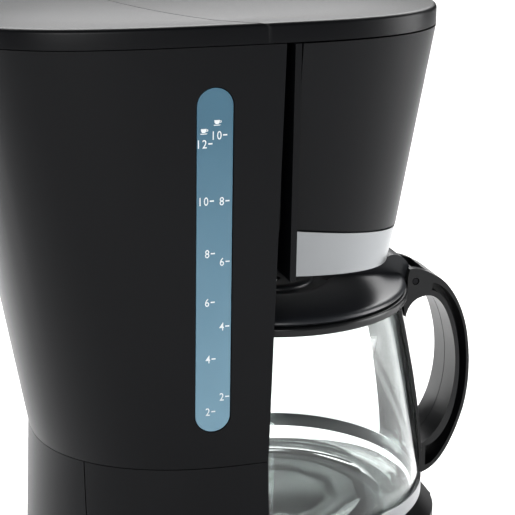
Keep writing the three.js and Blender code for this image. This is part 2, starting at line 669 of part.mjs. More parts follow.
function trimLevels(inset) {
  const { top, edge, band } = housingLevels(inset, 0);
  return [{ ...band, z: band.z - 4 }, edge, top];
}

function trimBand() {
  return loft(trimLevels(0.1)).subtract(loft(trimLevels(TRIM_THICKNESS)))
    .intersect(trimZone(0.1, -1))
    .intersect(ahead(HOUSING_BACK_X + 0.4));
}

function housingPin() {
  return cylinder(HINGE_RADIUS, FRAME_FOOT - 4.5, COLUMN_TOP + 5,
    { at: [SWING_X, SWING_Y], sides: 16 });
}

function filterBasket() {
  const low = FLOOR_TOP + 9;
  const high = HOUSING_TOP - 3;
  const [r, f, t] = [BASKET_RADIUS, BASKET_FOOT_RADIUS, THIN];
  let basket = turned([[5, low], [f, low], [r, high - 2], [r + 2.4, high - 2], [r + 2.4, high],
    [r - t, high], [f - t, low + t], [5, low + t]], 36);
  for (const side of [-1, 1]) {
    basket = basket.add(box([-9, 9], [side * (r + 4) - 4.5, side * (r + 4) + 4.5],
      [high - 2, high]).intersect(cylinder(r + 7, 0, 400, { sides: 36 })));
  }
  return basket;
}

function valvePlunger() {
  const seat = FLOOR_TOP + 1.4;
  return turned([[0, VALVE_TIP], [STEM_RADIUS - 0.6, VALVE_TIP], [STEM_RADIUS, VALVE_TIP + 1],
    [STEM_RADIUS, seat], [7, seat + 0.2], [7, seat + 1.6], [2, seat + 1.8], [2, seat + 4.4],
    [0, seat + 4.4]], 20);
}

function valveSeal() {
  return ring(STEM_RADIUS + 0.4, 7.4, FLOOR_TOP + GAP, FLOOR_TOP + 1.2, 20);
}

function valveBridge() {
  const low = FLOOR_TOP + GAP;
  const high = low + 8;
  return box([-3, 3], [-13, 13], [high - 1.4, high])
    .add(box([-3, 3], [-13, -11], [low, high]))
    .add(box([-3, 3], [11, 13], [low, high]))
    .add(box([-3, 3], [-16, -11], [low, low + 1.4]))
    .add(box([-3, 3], [11, 16], [low, low + 1.4]))
    .subtract(cylinder(2.6, 100, 300, { sides: 12 }));
}

function valveSpring() {
  const low = FLOOR_TOP + 1.4 + 1.6 + GAP;
  const high = FLOOR_TOP + GAP + 8 - 1.4 - GAP;
  const wireRadius = 0.3;
  const turns = 2;
  const points = [];
  for (let i = 0; i <= turns * 8; i += 1) {
    const turn = (i * Math.PI) / 4;
    const t = i / (turns * 8);
    points.push([4.2 * Math.cos(turn), 4.2 * Math.sin(turn),
      mix(low + wireRadius, high - wireRadius, t)]);
  }
  return tube(points, wireRadius, { sides: 6, steps: turns * 12 });
}

// ---- Jug --------------------------------------------------------------------------------------

const JUG_FOOT = PLATE_TOP + GAP;

/** Outer radius of the glass at points up its side. */
const JUG_SIDE = [[-11.4, 0], [-3.8, 4], [-0.8, 9.5], [0, 18], [-1, 33], [-3.4, 53], [-7.8, 79],
  [1 - JUG_WAIST, 97], [-JUG_WAIST, 104], [-JUG_WAIST, 109.4]]
  .map(([inward, z]) => [JUG_RADIUS + inward, z]);

function jugGlass() {
  const outside = JUG_SIDE.map(([r, z]) => [r, JUG_FOOT + z]);
  const inside = JUG_SIDE.filter((_, i) => i !== 1 && i !== 4)
    .map(([r, z]) => [r - GLASS, JUG_FOOT + Math.max(z, GLASS)]).reverse();
  return turned([[0, JUG_FOOT], ...outside, ...inside, [0, JUG_FOOT + GLASS]]);
}

function jugRadiusAt(z, margin = 0) {
  const height = z - JUG_FOOT;
  const i = Math.max(1, JUG_SIDE.findIndex(([, h]) => h >= height));
  const [[r0, z0], [r1, z1]] = [JUG_SIDE[i - 1], JUG_SIDE[i]];
  return mix(r0, r1, (height - z0) / (z1 - z0)) + margin;
}

function jugCollar() {
  const neck = JUG_NECK_RADIUS + GAP;
  return turned([[neck, COLLAR_FOOT], [COLLAR_RADIUS - 1.4, COLLAR_FOOT],
    [COLLAR_RADIUS, COLLAR_FOOT + 1.2], [COLLAR_RADIUS, COLLAR_TOP - 1],
    [COLLAR_RADIUS - 1, COLLAR_TOP], [neck - 3, COLLAR_TOP], [neck - 3, COLLAR_TOP - 1.2],
    [neck, COLLAR_TOP - 1.2]])
    .subtract(box([COLLAR_RADIUS - 1.6, COLLAR_RADIUS + 20], [-HANDLE_HALF - GAP, HANDLE_HALF + GAP], [100, 160]));
}

function jugBand() {
  const inner = jugRadiusAt(BAND_HIGH, 0.9);
  return ring(inner, inner + 0.8, BAND_LOW, BAND_HIGH);
}

/** Shape whose calls take distances beyond the jug's widest radius as their X values. */
function beside(draw) {
  const shape = new THREE.Shape();
  const out = (values) => values.map((v, i) => (i % 2 === 0 ? JUG_RADIUS + v : v));
  draw({
    move: (...v) => shape.moveTo(...out(v)),
    line: (...v) => shape.lineTo(...out(v)),
    curve: (...v) => shape.bezierCurveTo(...out(v)),
    bend: (...v) => shape.quadraticCurveTo(...out(v)),
  });
  shape.closePath();
  return shape;
}

/** How far the glass stands in from the jug's widest radius, less a margin. */
const alongside = (z, margin) => jugRadiusAt(z, margin) - JUG_RADIUS;

/** Closed side view of the handle: its grip, head and foot, with the finger space filled. */
function handleOutline() {
  const head = COLLAR_RADIUS - JUG_RADIUS;
  return beside((pen) => {
    pen.move(head - 0.8, COLLAR_TOP + 1.8);
    pen.line(head + 0.2, COLLAR_TOP + 6.4);
    pen.bend(-2.4, COLLAR_TOP + 7.6, 6.1, 149.6);
    pen.curve(14.1, 146, 21.6, 133, 24.2, 118.6);
    pen.curve(26.8, 104, 26.5, 88, 22.7, 75.7);
    pen.curve(19.1, 64, 13.6, 52, 7.1, 47.8);
    pen.bend(4.6, 45.8, alongside(46, 1.9), 45);
    for (const z of [62, 80, 104, 122]) pen.line(alongside(z, 1), z);
    pen.line(alongside(138, 1.4), COLLAR_FOOT - 1.2);
    pen.line(head - 0.8, COLLAR_FOOT - 0.6);
  });
}

/** Finger space, open towards the glass. */
function fingerOutline() {
  return beside((pen) => {
    pen.move(alongside(59, -4), 59.4);
    pen.line(0.6, 60.6);
    pen.curve(7.4, 63.4, 13.6, 72, 16.4, 84);
    pen.curve(19.2, 95, 19, 108, 16.6, 118);
    pen.curve(14.2, 129, 9.6, 139.6, 2.4, 139.6);
    pen.curve(-3.4, 139.6, -7.6, 136, -8.8, 129.6);
    pen.line(alongside(129, -4), 129.6);
  });
}

/** Channel sunk into each side of the grip. */
function channelOutline() {
  return beside((pen) => {
    pen.move(5.4, 146);
    pen.curve(14, 143.2, 20.4, 131.4, 22.6, 119);
    pen.curve(25, 104.5, 24.8, 89.5, 21.3, 77);
    pen.curve(18, 65.5, 12.6, 54.6, 6.6, 49.8);
    pen.line(3.8, 49);
    pen.line(3.8, 59.4);
    pen.curve(11.8, 60.6, 17.4, 72.6, 19.2, 83);
    pen.curve(21.4, 94, 21.3, 107, 18.8, 118.6);
    pen.curve(16.8, 128.4, 12.4, 140.4, 4.6, 142.2);
  });
}

/** Thin strap down the glass that ties the head of the handle to its foot. */
function handleStrap() {
  const along = (margin) => JUG_SIDE.map(([r, z]) => [r + margin, JUG_FOOT + z]);
  return turned([[0, JUG_FOOT], ...along(STRAP_GAP + STRAP), [0, JUG_FOOT + 109.4]])
    .subtract(turned([[0, 0], ...along(STRAP_GAP), [0, 200]]))
    .intersect(box([0, 90], [-STRAP_HALF, STRAP_HALF], [BAND_HIGH + GAP + 0.3, COLLAR_FOOT - 0.8]));
}

function jugHandle() {
  const h = HANDLE_HALF;
  const web = 3.4;
  const pinHole = cylinder(1.8, -h - 1, h + 1, { axis: 'y', at: [JUG_PIN_X, JUG_PIN_Z], sides: 12 });
  return slab(handleOutline(), -h, h)
    .subtract(slab(fingerOutline(), -h - 1, h + 1))
    .subtract(slab(channelOutline(), -h - 1, -web))
    .subtract(slab(channelOutline(), web, h + 1))
    .subtract(box([COLLAR_RADIUS - 15, JUG_PIN_X + 6.6], [-h + 3.4, h - 3.4],
      [COLLAR_FOOT + 0.5, 170]))
    .subtract(cylinder(COLLAR_RADIUS + GAP, COLLAR_FOOT - GAP, 170, { sides: ROUND })
      .intersect(box([0, 90], [-h - 1, h + 1], [COLLAR_FOOT - GAP, COLLAR_TOP + 0.6])))
    .subtract(ring(BAND_RING[0], BAND_RING[1], BAND_LOW - GAP, BAND_HIGH + GAP))
    .subtract(turned([[0, 0], ...JUG_SIDE.map(([r, z]) => [r + STRAP_GAP, JUG_FOOT + z]), [0, 150]]))
    .subtract(cylinder(1.6, JUG_RADIUS - 9, BAND_RING[1] + 5.4,
      { axis: 'x', at: [0, BAND_SCREW_Z], sides: 12 }))
    .subtract(pinHole)
    .add(handleStrap());
}

const BAND_SCREW_Z = BAND_HIGH - 2.2;
const BAND_RING = [jugRadiusAt(BAND_HIGH, 0.9 - GAP), jugRadiusAt(BAND_HIGH, 0.9 + 0.8 + GAP)];

function bandScrew() {
  const x = BAND_RING[1];
  return cylinder(1.2, x + 0.3, x + 5, { axis: 'x', at: [0, BAND_SCREW_Z], sides: 12 });
}

function jugPin() {
  return cylinder(1.45, -HANDLE_HALF + 0.3, HANDLE_HALF - 0.3,
    { axis: 'y', at: [JUG_PIN_X, JUG_PIN_Z], sides: 12 });
}

/** Jug lid: a ring-shaped dome round a sunk well with a boss and a drip hole. */
function carafeLid() {
  const foot = COLLAR_TOP + GAP;
  const pin = JUG_PIN_X;
  const dome = turned([
    [3.4, foot + 1.2], [LID_RADIUS - 8, foot + 1.2], [LID_RADIUS - 8, foot], [LID_RADIUS - 1, foot],
    [LID_RADIUS, foot + 1], [LID_RADIUS - 0.4, foot + 2.6], [LID_RADIUS - 3, foot + 3.6],
    [LID_RADIUS - 11.8, LID_RING_TOP - 0.6], [LID_RADIUS - 20.8, LID_RING_TOP],
    [LID_RADIUS - 29.8, LID_RING_TOP - 1], [BOSS_RADIUS + 8, foot + 3.2],
    [BOSS_RADIUS + 3, foot + 2.6], [BOSS_RADIUS, foot + 2.6], [BOSS_RADIUS - 0.6, BOSS_TOP - 1.8],
    [BOSS_RADIUS - 4, BOSS_TOP], [6, BOSS_TOP - 1.6],
    [3.4, BOSS_TOP - 1.6],
  ]);
  const lever = slab([
    [BOSS_RADIUS + 2, foot + 1.6], [BOSS_RADIUS + 1.6, 149.6], [pin - 42.4, 151.4],
    [pin - 35.4, 154], [pin - 27.4, 155.8], [pin - 18.4, 156.2], [pin - 15, 158],
    [pin - 12.4, 160.4], [pin - 9, 160.6], [pin - 3.8, 157], [pin - 2, 154.4],
    [pin - 2, 152.4], [pin - 6.4, 151], [pin - 8.4, foot + 1.6],
  ], -9.6, 9.6);
  const tongue = slab([[pin - 12.4, foot + 0.4], [pin - 10.4, foot + 5.4], [pin + 1, foot + 4.4],
    [pin + 4, JUG_PIN_Z + 1], [pin + 2.6, JUG_PIN_Z - 2.6],
    [COLLAR_RADIUS + 1.6, JUG_PIN_Z - 2.4], [COLLAR_RADIUS + 1, foot + 0.4]], -9.6, 9.6);
  return dome.add(lever).add(tongue)
    .subtract(cylinder(1.8, -20, 20, { axis: 'y', at: [JUG_PIN_X, JUG_PIN_Z], sides: 12 }));
}

// ---- Assembly -----------------------------------------------------------------------------------

const FINISH = {
  satinBlack: { color: 0x1d1e21, roughness: 0.42, metalness: 0 },
  glossBlack: { color: 0x151618, roughness: 0.22, metalness: 0 },
  rubber: { color: 0x202020, roughness: 0.9, metalness: 0 },
  blueClear: { color: 0x6d93a8, roughness: 0.25, metalness: 0, transparent: true, opacity: 0.75 },
  steel: { color: 0xb4b6b8, roughness: 0.3, metalness: 1 },
  enamel: { color: 0x3a3c3f, roughness: 0.35, metalness: 0.2 },
  aluminium: { color: 0xb9bcbf, roughness: 0.4, metalness: 1 },
  silicone: { color: 0xb8bcbf, roughness: 0.6, metalness: 0 },
  clearPlastic: { color: 0xdfe6e8, roughness: 0.3, metalness: 0 },
  glass: { color: 0xeaf3f5, roughness: 0.05, metalness: 0, transparent: true, opacity: 0.3 },
  wire: { color: 0x9a2f24, roughness: 0.5, metalness: 0 },
};

const machine = new THREE.Group();

function place(name, manifold, finish) {
  const mesh = new THREE.Mesh(geometryOf(manifold), new THREE.MeshStandardMaterial(FINISH[finish]));
  mesh.name = name;
  machine.add(mesh);
}

const shells = baseShells();
place('base_shell', shells.base_shell, 'satinBlack');
place('base_rear_cover', shells.base_rear_cover, 'satinBlack');
place('base_plate', basePlate(), 'satinBlack');
for (const [name, where] of Object.entries(FOOT_PLACES)) place(`foot_${name}`, foot(where), 'rubber');
SCREW_PLACES.forEach((where, i) => place(`base_screw_${i + 1}`, baseScrew(where), 'steel'));
place('hot_plate', hotPlate(), 'enamel');
place('plate_seal', plateSeal(), 'silicone');
place('heater_tube', heaterTube(), 'aluminium');
place('heater_clamp', heaterClamp(), 'steel');
place('clamp_screw', clampScrew(), 'steel');
place('thermostat', thermostat(), 'steel');
place('thermal_fuse', thermalFuse(), 'clearPlastic');
place('cold_hose', coldHose(), 'silicone');
place('riser_tube', riserTube(), 'silicone');
place('check_valve', checkValve(), 'clearPlastic');
place('outlet_grommet', outletGrommet(), 'silicone');
place('switch_frame', switchFrame(), 'glossBlack');
place('rocker_switch', rockerSwitch(), 'glossBlack');
place('cord_gland', cordGland(), 'rubber');
place('lead_live', lead([-104, 32, 18], [66, 3, SWITCH_Z + 4], 1), 'wire');
place('lead_neutral', lead([-104, 28, 18], [FUSE_X, FUSE_END - 1.4, HEATER_Z], -1), 'wire');
place('tank_body', tankBody(), 'satinBlack');
place('gauge_window', gaugeWindow(), 'blueClear');
place('tank_lid', tankLid(), 'satinBlack');
place('tank_lid_pin', tankLidPin(), 'steel');
place('front_cap', frontCap(), 'satinBlack');
place('head_plate', headPlate(), 'satinBlack');
place('spray_head', sprayHead(), 'clearPlastic');
place('filter_housing', filterHousing(), 'satinBlack');
place('trim_band', trimBand(), 'steel');
place('housing_pin', housingPin(), 'steel');
place('filter_basket', filterBasket(), 'glossBlack');
place('valve_plunger', valvePlunger(), 'silicone');
place('valve_seal', valveSeal(), 'silicone');
place('valve_bridge', valveBridge(), 'glossBlack');
place('valve_spring', valveSpring(), 'steel');
place('jug_glass', jugGlass(), 'glass');
place('jug_collar', jugCollar(), 'satinBlack');
place('jug_band', jugBand(), 'steel');
place('jug_handle', jugHandle(), 'satinBlack');
place('band_screw', bandScrew(), 'steel');
place('jug_pin', jugPin(), 'steel');
place('carafe_lid', carafeLid(), 'satinBlack');

// Origin under the middle of the outer box.
const outerBox = new THREE.Box3().setFromObject(machine);
machine.position.set(-(outerBox.min.x + outerBox.max.x) / 2, 0, -outerBox.min.z);

export default machine;
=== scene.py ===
"""Drip coffee maker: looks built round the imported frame, in metres, Z up, X to the front."""

import logging
import math
from dataclasses import dataclass, field
from enum import Enum
from functools import reduce
from typing import Any, Callable, Iterable, Sequence

import bmesh
import bpy
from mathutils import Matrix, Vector


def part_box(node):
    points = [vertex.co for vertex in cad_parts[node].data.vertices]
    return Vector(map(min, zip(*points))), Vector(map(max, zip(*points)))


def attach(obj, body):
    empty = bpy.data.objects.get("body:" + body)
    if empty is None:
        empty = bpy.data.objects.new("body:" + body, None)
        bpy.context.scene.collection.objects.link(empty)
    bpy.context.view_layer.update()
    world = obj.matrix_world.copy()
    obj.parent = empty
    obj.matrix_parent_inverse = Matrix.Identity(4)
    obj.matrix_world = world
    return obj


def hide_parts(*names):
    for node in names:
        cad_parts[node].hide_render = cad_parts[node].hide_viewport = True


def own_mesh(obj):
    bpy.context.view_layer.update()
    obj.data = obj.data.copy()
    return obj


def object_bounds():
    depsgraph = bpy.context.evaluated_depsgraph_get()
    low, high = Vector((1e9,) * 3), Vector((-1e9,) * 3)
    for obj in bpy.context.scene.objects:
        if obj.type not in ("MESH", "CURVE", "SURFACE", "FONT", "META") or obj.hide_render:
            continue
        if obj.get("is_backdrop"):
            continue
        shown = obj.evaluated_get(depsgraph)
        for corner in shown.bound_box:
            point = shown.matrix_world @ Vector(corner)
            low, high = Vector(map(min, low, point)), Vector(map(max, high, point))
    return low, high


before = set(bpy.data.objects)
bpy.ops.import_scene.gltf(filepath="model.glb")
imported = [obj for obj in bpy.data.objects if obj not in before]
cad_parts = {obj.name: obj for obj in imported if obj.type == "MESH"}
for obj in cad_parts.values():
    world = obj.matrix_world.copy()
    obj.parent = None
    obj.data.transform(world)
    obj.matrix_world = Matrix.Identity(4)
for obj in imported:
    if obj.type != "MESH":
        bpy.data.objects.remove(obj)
cad_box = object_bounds()
log = logging.getLogger("coffee_maker")

MM = 0.001
BODY_SIDES = 192
ROUND_SIDES = 144
GAP = 0.35  # mm between pieces that touch

Point2 = tuple[float, float]
Point3 = tuple[float, float, float]


def jug_axis() -> float:
    """Place of the jug's axis along X in the frame, in millimetres."""
    low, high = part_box("jug_band")
    return (low.x + high.x) / 2 / MM


AXIS_X = jug_axis()


def mix(a: float, b: float, t: float) -> float:
    """Value a share t of the way from a to b."""
    return a + (b - a) * t


# ---- Solids ----------------------------------------------------------------------------------


class Cut(Enum):
    """How two solids are put together."""

    MINUS = "DIFFERENCE"
    PLUS = "UNION"
    COMMON = "INTERSECT"


class Solid:
    """Closed shape in millimetres, with X counted from the jug's axis."""

    def __init__(self, mesh: bpy.types.Mesh) -> None:
        self.mesh = mesh

    @classmethod
    def from_rings(cls, rings: Sequence[Sequence[Point3]], looped: bool = False) -> "Solid":
        """Skin through rings of equal length.

        Args:
            rings: Points of each ring, in order round it.
            looped: True where the last ring meets the first, as in a turned shape.

        Returns:
            The closed solid.
        """
        bm = bmesh.new()
        rows = [[bm.verts.new(p) for p in ring] for ring in rings]
        pairs = list(zip(rows, rows[1:])) + ([(rows[-1], rows[0])] if looped else [])
        size = len(rows[0])
        for low, high in pairs:
            for i in range(size):
                j = (i + 1) % size
                bm.faces.new((low[i], low[j], high[j], high[i]))
        if not looped:
            bm.faces.new(list(reversed(rows[0])))
            bm.faces.new(rows[-1])
        bmesh.ops.remove_doubles(bm, verts=bm.verts, dist=1e-4)
        bmesh.ops.dissolve_degenerate(bm, edges=bm.edges, dist=1e-5)
        bmesh.ops.recalc_face_normals(bm, faces=bm.faces)
        mesh = bpy.data.meshes.new("solid")
        bm.to_mesh(mesh)
        bm.free()
        return cls(mesh)

    @classmethod
    def turned(cls, profile: Sequence[Point2], sides: int = ROUND_SIDES) -> "Solid":
        """Solid of revolution about the jug's axis.

        Args:
            profile: Closed outline of radius and height.
            sides: Facets round the axis.

        Returns:
            The closed solid.
        """
        rings = []
        for i in range(sides):
            turn = 2 * math.pi * i / sides
            rings.append([(r * math.cos(turn), r * math.sin(turn), z) for r, z in profile])
        return cls.from_rings(rings, looped=True)

    @classmethod
    def cylinder(
        cls,
        radius: float,
        low: float,
        high: float,
        axis: str = "z",
        at: Point2 = (0.0, 0.0),
        sides: int = ROUND_SIDES,
    ) -> "Solid":
        """Cylinder between two places on an axis.

        Args:
            radius: Radius in millimetres.
            low: Lower end along the axis.
            high: Upper end along the axis.
            axis: "x", "y" or "z".
            at: Place of the axis in the other two directions.
            sides: Facets round the axis.

        Returns:
            The closed solid.
        """
        rings = []
        for end in (low, high):
            ring = []
            for i in range(sides):
                turn = 2 * math.pi * i / sides
                u, v = at[0] + radius * math.cos(turn), at[1] + radius * math.sin(turn)
                ring.append({"z": (u, v, end), "y": (u, end, v), "x": (end, u, v)}[axis])
            rings.append(ring)
        return cls.from_rings(rings)

    @classmethod
    def tube(cls, path: Sequence[Point3], radius: float, sides: int = 12) -> "Solid":
        """Round wire along a path.

        Args:
            path: Points along the wire's middle.
            radius: Radius of the wire in millimetres.
            sides: Facets round the wire.

        Returns:
            The closed solid.
        """
        points = [Vector(p) for p in path]
        rings = []
        for i, point in enumerate(points):
            along = (points[min(i + 1, len(points) - 1)] - points[max(i - 1, 0)]).normalized()
            out = along.cross(Vector((0, 0, 1))).normalized()
            up = out.cross(along)
            ring = []
            for k in range(sides):
                turn = 2 * math.pi * k / sides
                ring.append(tuple(point + radius * (out * math.cos(turn) + up * math.sin(turn))))
            rings.append(ring)
        return cls.from_rings(rings)

    @classmethod
    def box(cls, x: Point2, y: Point2, z: Point2) -> "Solid":
        """Upright block between two values on each axis."""
        return cls.from_rings(
            [[(x[0], y[0], h), (x[1], y[0], h), (x[1], y[1], h), (x[0], y[1], h)] for h in z]
        )

    @classmethod
    def slab(cls, outline: Sequence[Point2], low: float, high: float) -> "Solid":
        """Side view of X and Z points, thick along Y between two values."""
        return cls.from_rings([[(x, y, z) for x, z in outline] for y in (low, high)])

    def _joined(self, other: "Solid", cut: Cut) -> "Solid":
        """Puts two solids together.

        Args:
            other: The second solid.
            cut: How they are put together.

        Returns:
            A new solid.
        """
        first = bpy.data.objects.new("first", self.mesh)
        second = bpy.data.objects.new("second", other.mesh)
        for thing in (first, second):
            bpy.context.scene.collection.objects.link(thing)
        modifier = first.modifiers.new("cut", "BOOLEAN")
        modifier.operation = cut.value
        modifier.solver = "MANIFOLD"
        modifier.object = second
        graph = bpy.context.evaluated_depsgraph_get()
        mesh = bpy.data.meshes.new_from_object(first.evaluated_get(graph))
        for thing in (first, second):
            bpy.data.objects.remove(thing)
        return Solid(mesh)

    def minus(self, *others: "Solid") -> "Solid":
        """This solid with others cut away."""
        return reduce(lambda first, second: first._joined(second, Cut.MINUS), others, self)

    def plus(self, *others: "Solid") -> "Solid":
        """This solid joined to others."""
        return reduce(lambda first, second: first._joined(second, Cut.PLUS), others, self)

    def common(self, *others: "Solid") -> "Solid":
        """What this solid shares with others."""
        return reduce(lambda first, second: first._joined(second, Cut.COMMON), others, self)


WIDE = 400.0  # mm, past every piece on each side
UNDER, OVER = -20.0, 420.0  # mm, heights below and above every piece


def ahead(x: float) -> Solid:
    """All that lies in front of a plane across X."""
    return Solid.box((x, WIDE), (-WIDE, WIDE), (UNDER, OVER))


def behind(x: float) -> Solid:
    """All that lies behind a plane across X."""
    return Solid.box((-WIDE, x), (-WIDE, WIDE), (UNDER, OVER))


def bezier(points: Sequence[Point2], steps: int = 14) -> list[Point2]:
    """Points along a curve of any order, leaving out its start.

    Args:
        points: Control points.
        steps: Number of points.

    Returns:
        Points from just after the start to the end.
    """
    found = []
    for step in range(1, steps + 1):
        t = step / steps
        row = list(points)
        while len(row) > 1:
            row = [(mix(a[0], b[0], t), mix(a[1], b[1], t)) for a, b in zip(row, row[1:])]
        found.append(row[0])
    return found


# ---- Materials -------------------------------------------------------------------------------


CLOUD_PER_METRE = 26.0  # soft unevenness of a moulded face, about 40 mm across
WAVE_PER_METRE = 18.0  # slow waves of blown glass, about 55 mm across
STRIP_CLOUD_PER_METRE = 40.0  # unevenness of the level strip, about 25 mm across


def linear(hex_colour: str) -> tuple[float, float, float, float]:
    """Linear colour of an sRGB hex value.

    Args:
        hex_colour: Six digits with a hash.

    Returns:
        Red, green, blue and alpha.
    """
    parts = [int(hex_colour[i : i + 2], 16) / 255 for i in (1, 3, 5)]
    red, green, blue = (p / 12.92 if p <= 0.04045 else ((p + 0.055) / 1.055) ** 2.4 for p in parts)
    return red, green, blue, 1.0


def add(
    tree: bpy.types.NodeTree,
    kind: str,
    settings: dict[str, Any] | None = None,
    links: dict[str | int, bpy.types.NodeSocket] | None = None,
) -> bpy.types.Node:
    """Adds one node to a tree.

    Args:
        tree: Shader or geometry tree.
        kind: The node's type.
        settings: Values of sockets by name or number, or of the node's own settings.
        links: Sockets that feed its inputs, by name or number.

    Returns:
        The new node.
    """
    node = tree.nodes.new(kind)
    for name, value in (settings or {}).items():
        if isinstance(name, int) or (name in node.inputs and not hasattr(node, str(name))):
            node.inputs[name].default_value = value
        else:
            setattr(node, name, value)
    for name, source in (links or {}).items():
        tree.links.new(source, node.inputs[name])
    return node


@dataclass(frozen=True)
class Finish:
    """What every finish shares: a colour, a gloss and a fine surface."""

    name: str
    colour: str
    roughness: float
    grain_mm: float = 0.6
    grain_depth: float = 0.12
    mottle: float = 0.12
    settings: dict[str, Any] = field(default_factory=dict)

    def _stretch(self) -> Point3:
        """How the grain is drawn out along each axis; even for a moulded surface."""
        return 1.0, 1.0, 1.0

    def build(self) -> bpy.types.Material:
        """Makes the material, once for each finish.

        Returns:
            The material.
        """
        old = bpy.data.materials.get(self.name)
        if old:
            return old
        material = bpy.data.materials.new(self.name)
        material.use_nodes = True
        tree = material.node_tree
        shader = tree.nodes["Principled BSDF"]
        shader.inputs["Roughness"].default_value = self.roughness
        for name, value in self.settings.items():
            shader.inputs[name].default_value = value
        place = add(tree, "ShaderNodeTexCoord")
        self._paint(tree, shader, place.outputs["Object"])
        return material

    def _paint(
        self, tree: bpy.types.NodeTree, shader: bpy.types.Node, place: bpy.types.NodeSocket
    ) -> None:
        """Adds colour variation, gloss variation and grain.

        Args:
            tree: The material's tree.
            shader: Its principled shader.
            place: Object coordinates.
        """
        per_metre = 1 / (self.grain_mm * MM)
        stretched = add(tree, "ShaderNodeMapping", links={0: place})
        stretched.inputs["Scale"].default_value = self._stretch()
        where = stretched.outputs[0]
        grain = add(
            tree, "ShaderNodeTexNoise", {"Scale": per_metre, "Detail": 3.0}, {"Vector": where}
        )
        cloud = add(
            tree,
            "ShaderNodeTexNoise",
            {"Scale": CLOUD_PER_METRE, "Detail": 4.0},
            {"Vector": place},
        )
        base = linear(self.colour)
        dark = tuple(c * (1 - self.mottle) for c in base[:3]) + (1.0,)
        light = tuple(min(1.0, c * (1 + self.mottle)) for c in base[:3]) + (1.0,)
        colour = add(
            tree, "ShaderNodeMix", {"data_type": "RGBA"}, {"Factor": cloud.outputs[0]}
        )
        colour.inputs[6].default_value = dark
        colour.inputs[7].default_value = light
        tree.links.new(colour.outputs[2], shader.inputs["Base Color"])
        gloss = add(
            tree,
            "ShaderNodeMapRange",
            {"To Min": self.roughness * 0.9, "To Max": min(1.0, self.roughness * 1.12)},
            {"Value": grain.outputs[0]},
        )
        tree.links.new(gloss.outputs[0], shader.inputs["Roughness"])
        bump = add(
            tree,
            "ShaderNodeBump",
            {"Strength": self.grain_depth, "Distance": 0.1 * MM},
            {"Height": grain.outputs[0]},
        )
        tree.links.new(bump.outputs[0], shader.inputs["Normal"])


@dataclass(frozen=True)
class Brushed(Finish):
    """Metal ground in one direction: fine lines lie level round the machine."""

    def _stretch(self) -> Point3:
        """Grain drawn out along X and Y, close together along Z."""
        return 0.012, 0.012, 1.0


@dataclass(frozen=True)
class Clear(Finish):
    """Clear glass: clean and polished, with only the faintest waves of blowing."""

    def _paint(
        self, tree: bpy.types.NodeTree, shader: bpy.types.Node, place: bpy.types.NodeSocket
    ) -> None:
        """Adds slow waves to the surface and a faint tint.

        Args:
            tree: The material's tree.
            shader: Its principled shader.
            place: Object coordinates.
        """
        shader.inputs["Base Color"].default_value = linear(self.colour)
        wave = add(
            tree, "ShaderNodeTexNoise", {"Scale": WAVE_PER_METRE, "Detail": 1.0}, {"Vector": place}
        )
        bump = add(
            tree,
            "ShaderNodeBump",
            {"Strength": self.grain_depth, "Distance": 0.2 * MM},
            {"Height": wave.outputs[0]},
        )
        tree.links.new(bump.outputs[0], shader.inputs["Normal"])


@dataclass(frozen=True)
class Tinted(Finish):
    """Tinted clear styrene: its colour fades to a paler blue towards its foot, a painted backlight
    where more light comes through it.
    """

    # Colour at the strip's foot: painted backlight.
    pale: str = "#84a9bc"
    low_mm: float = 100.0
    high_mm: float = 260.0

    def _paint(
        self, tree: bpy.types.NodeTree, shader: bpy.types.Node, place: bpy.types.NodeSocket
    ) -> None:
        """Adds a painted backlight, the fall to a paler colour down the strip, and a little cloud.

        Args:
            tree: The material's tree.
            shader: Its principled shader.
            place: Object coordinates.
        """
        split = add(tree, "ShaderNodeSeparateXYZ", links={0: place})
        height = add(
            tree,
            "ShaderNodeMapRange",
            {"From Min": self.low_mm * MM, "From Max": self.high_mm * MM},
            {"Value": split.outputs[2]},
        )
        cloud = add(
            tree,
            "ShaderNodeTexNoise",
            {"Scale": STRIP_CLOUD_PER_METRE, "Detail": 3.0},
            {"Vector": place},
        )
        both = add(
            tree,
            "ShaderNodeMath",
            {"operation": "MULTIPLY_ADD", 1: 0.16},
            {0: cloud.outputs[0], 2: height.outputs[0]},
        )
        colour = add(tree, "ShaderNodeMix", {"data_type": "RGBA"}, {"Factor": both.outputs[0]})
        # Painted backlight: the strip pales towards its foot.
        colour.inputs[6].default_value = linear(self.pale)
        colour.inputs[7].default_value = linear(self.colour)
        tree.links.new(colour.outputs[2], shader.inputs["Base Color"])
        gloss = add(
            tree,
            "ShaderNodeMapRange",
            {"To Min": self.roughness * 0.8, "To Max": self.roughness * 1.25},
            {"Value": cloud.outputs[0]},
        )
        tree.links.new(gloss.outputs[0], shader.inputs["Roughness"])


# Moulded polypropylene with a spark-eroded texture: soft sheen, no sharp reflections.
SATIN_BLACK = Finish(
    "moulded_polypropylene_satin", "#0d0e11", 0.38, 0.5, 0.16, 0.1, {"Specular IOR Level": 0.22}
)
# The same polymer from a polished mould: darker and glossier.
GLOSS_BLACK = Finish("moulded_polypropylene_gloss", "#131416", 0.2, 1.5, 0.04, 0.1)
# Handle and lid see hands and steam: a little smoother than the body.
HANDLE_BLACK = Finish(
    "moulded_polypropylene_handle", "#121315", 0.3, 0.9, 0.06, 0.12, {"Specular IOR Level": 0.45}
)
# The jug's lid: a paler colour than the handle, which is a painted sheen of the light from above,
# and a duller gloss.
LID_PAINTED_SHEEN_BLACK = Finish(
    "moulded_polypropylene_lid_painted_sheen", "#25272b", 0.36, 0.7, 0.08, 0.14, {"Specular IOR Level": 0.6}
)
# Moulded rubber: dull and slightly dusty.
RUBBER = Finish("moulded_rubber", "#1a1a1a", 0.85, 0.8, 0.3, 0.2)
# Stainless strip ground along its length: broad level streaks of light.
STEEL = Brushed(
    "brushed_stainless_steel", "#9c9ea0", 0.3, 0.35, 0.1, 0.04,
    {"Metallic": 1.0, "Anisotropic": 0.5},
)
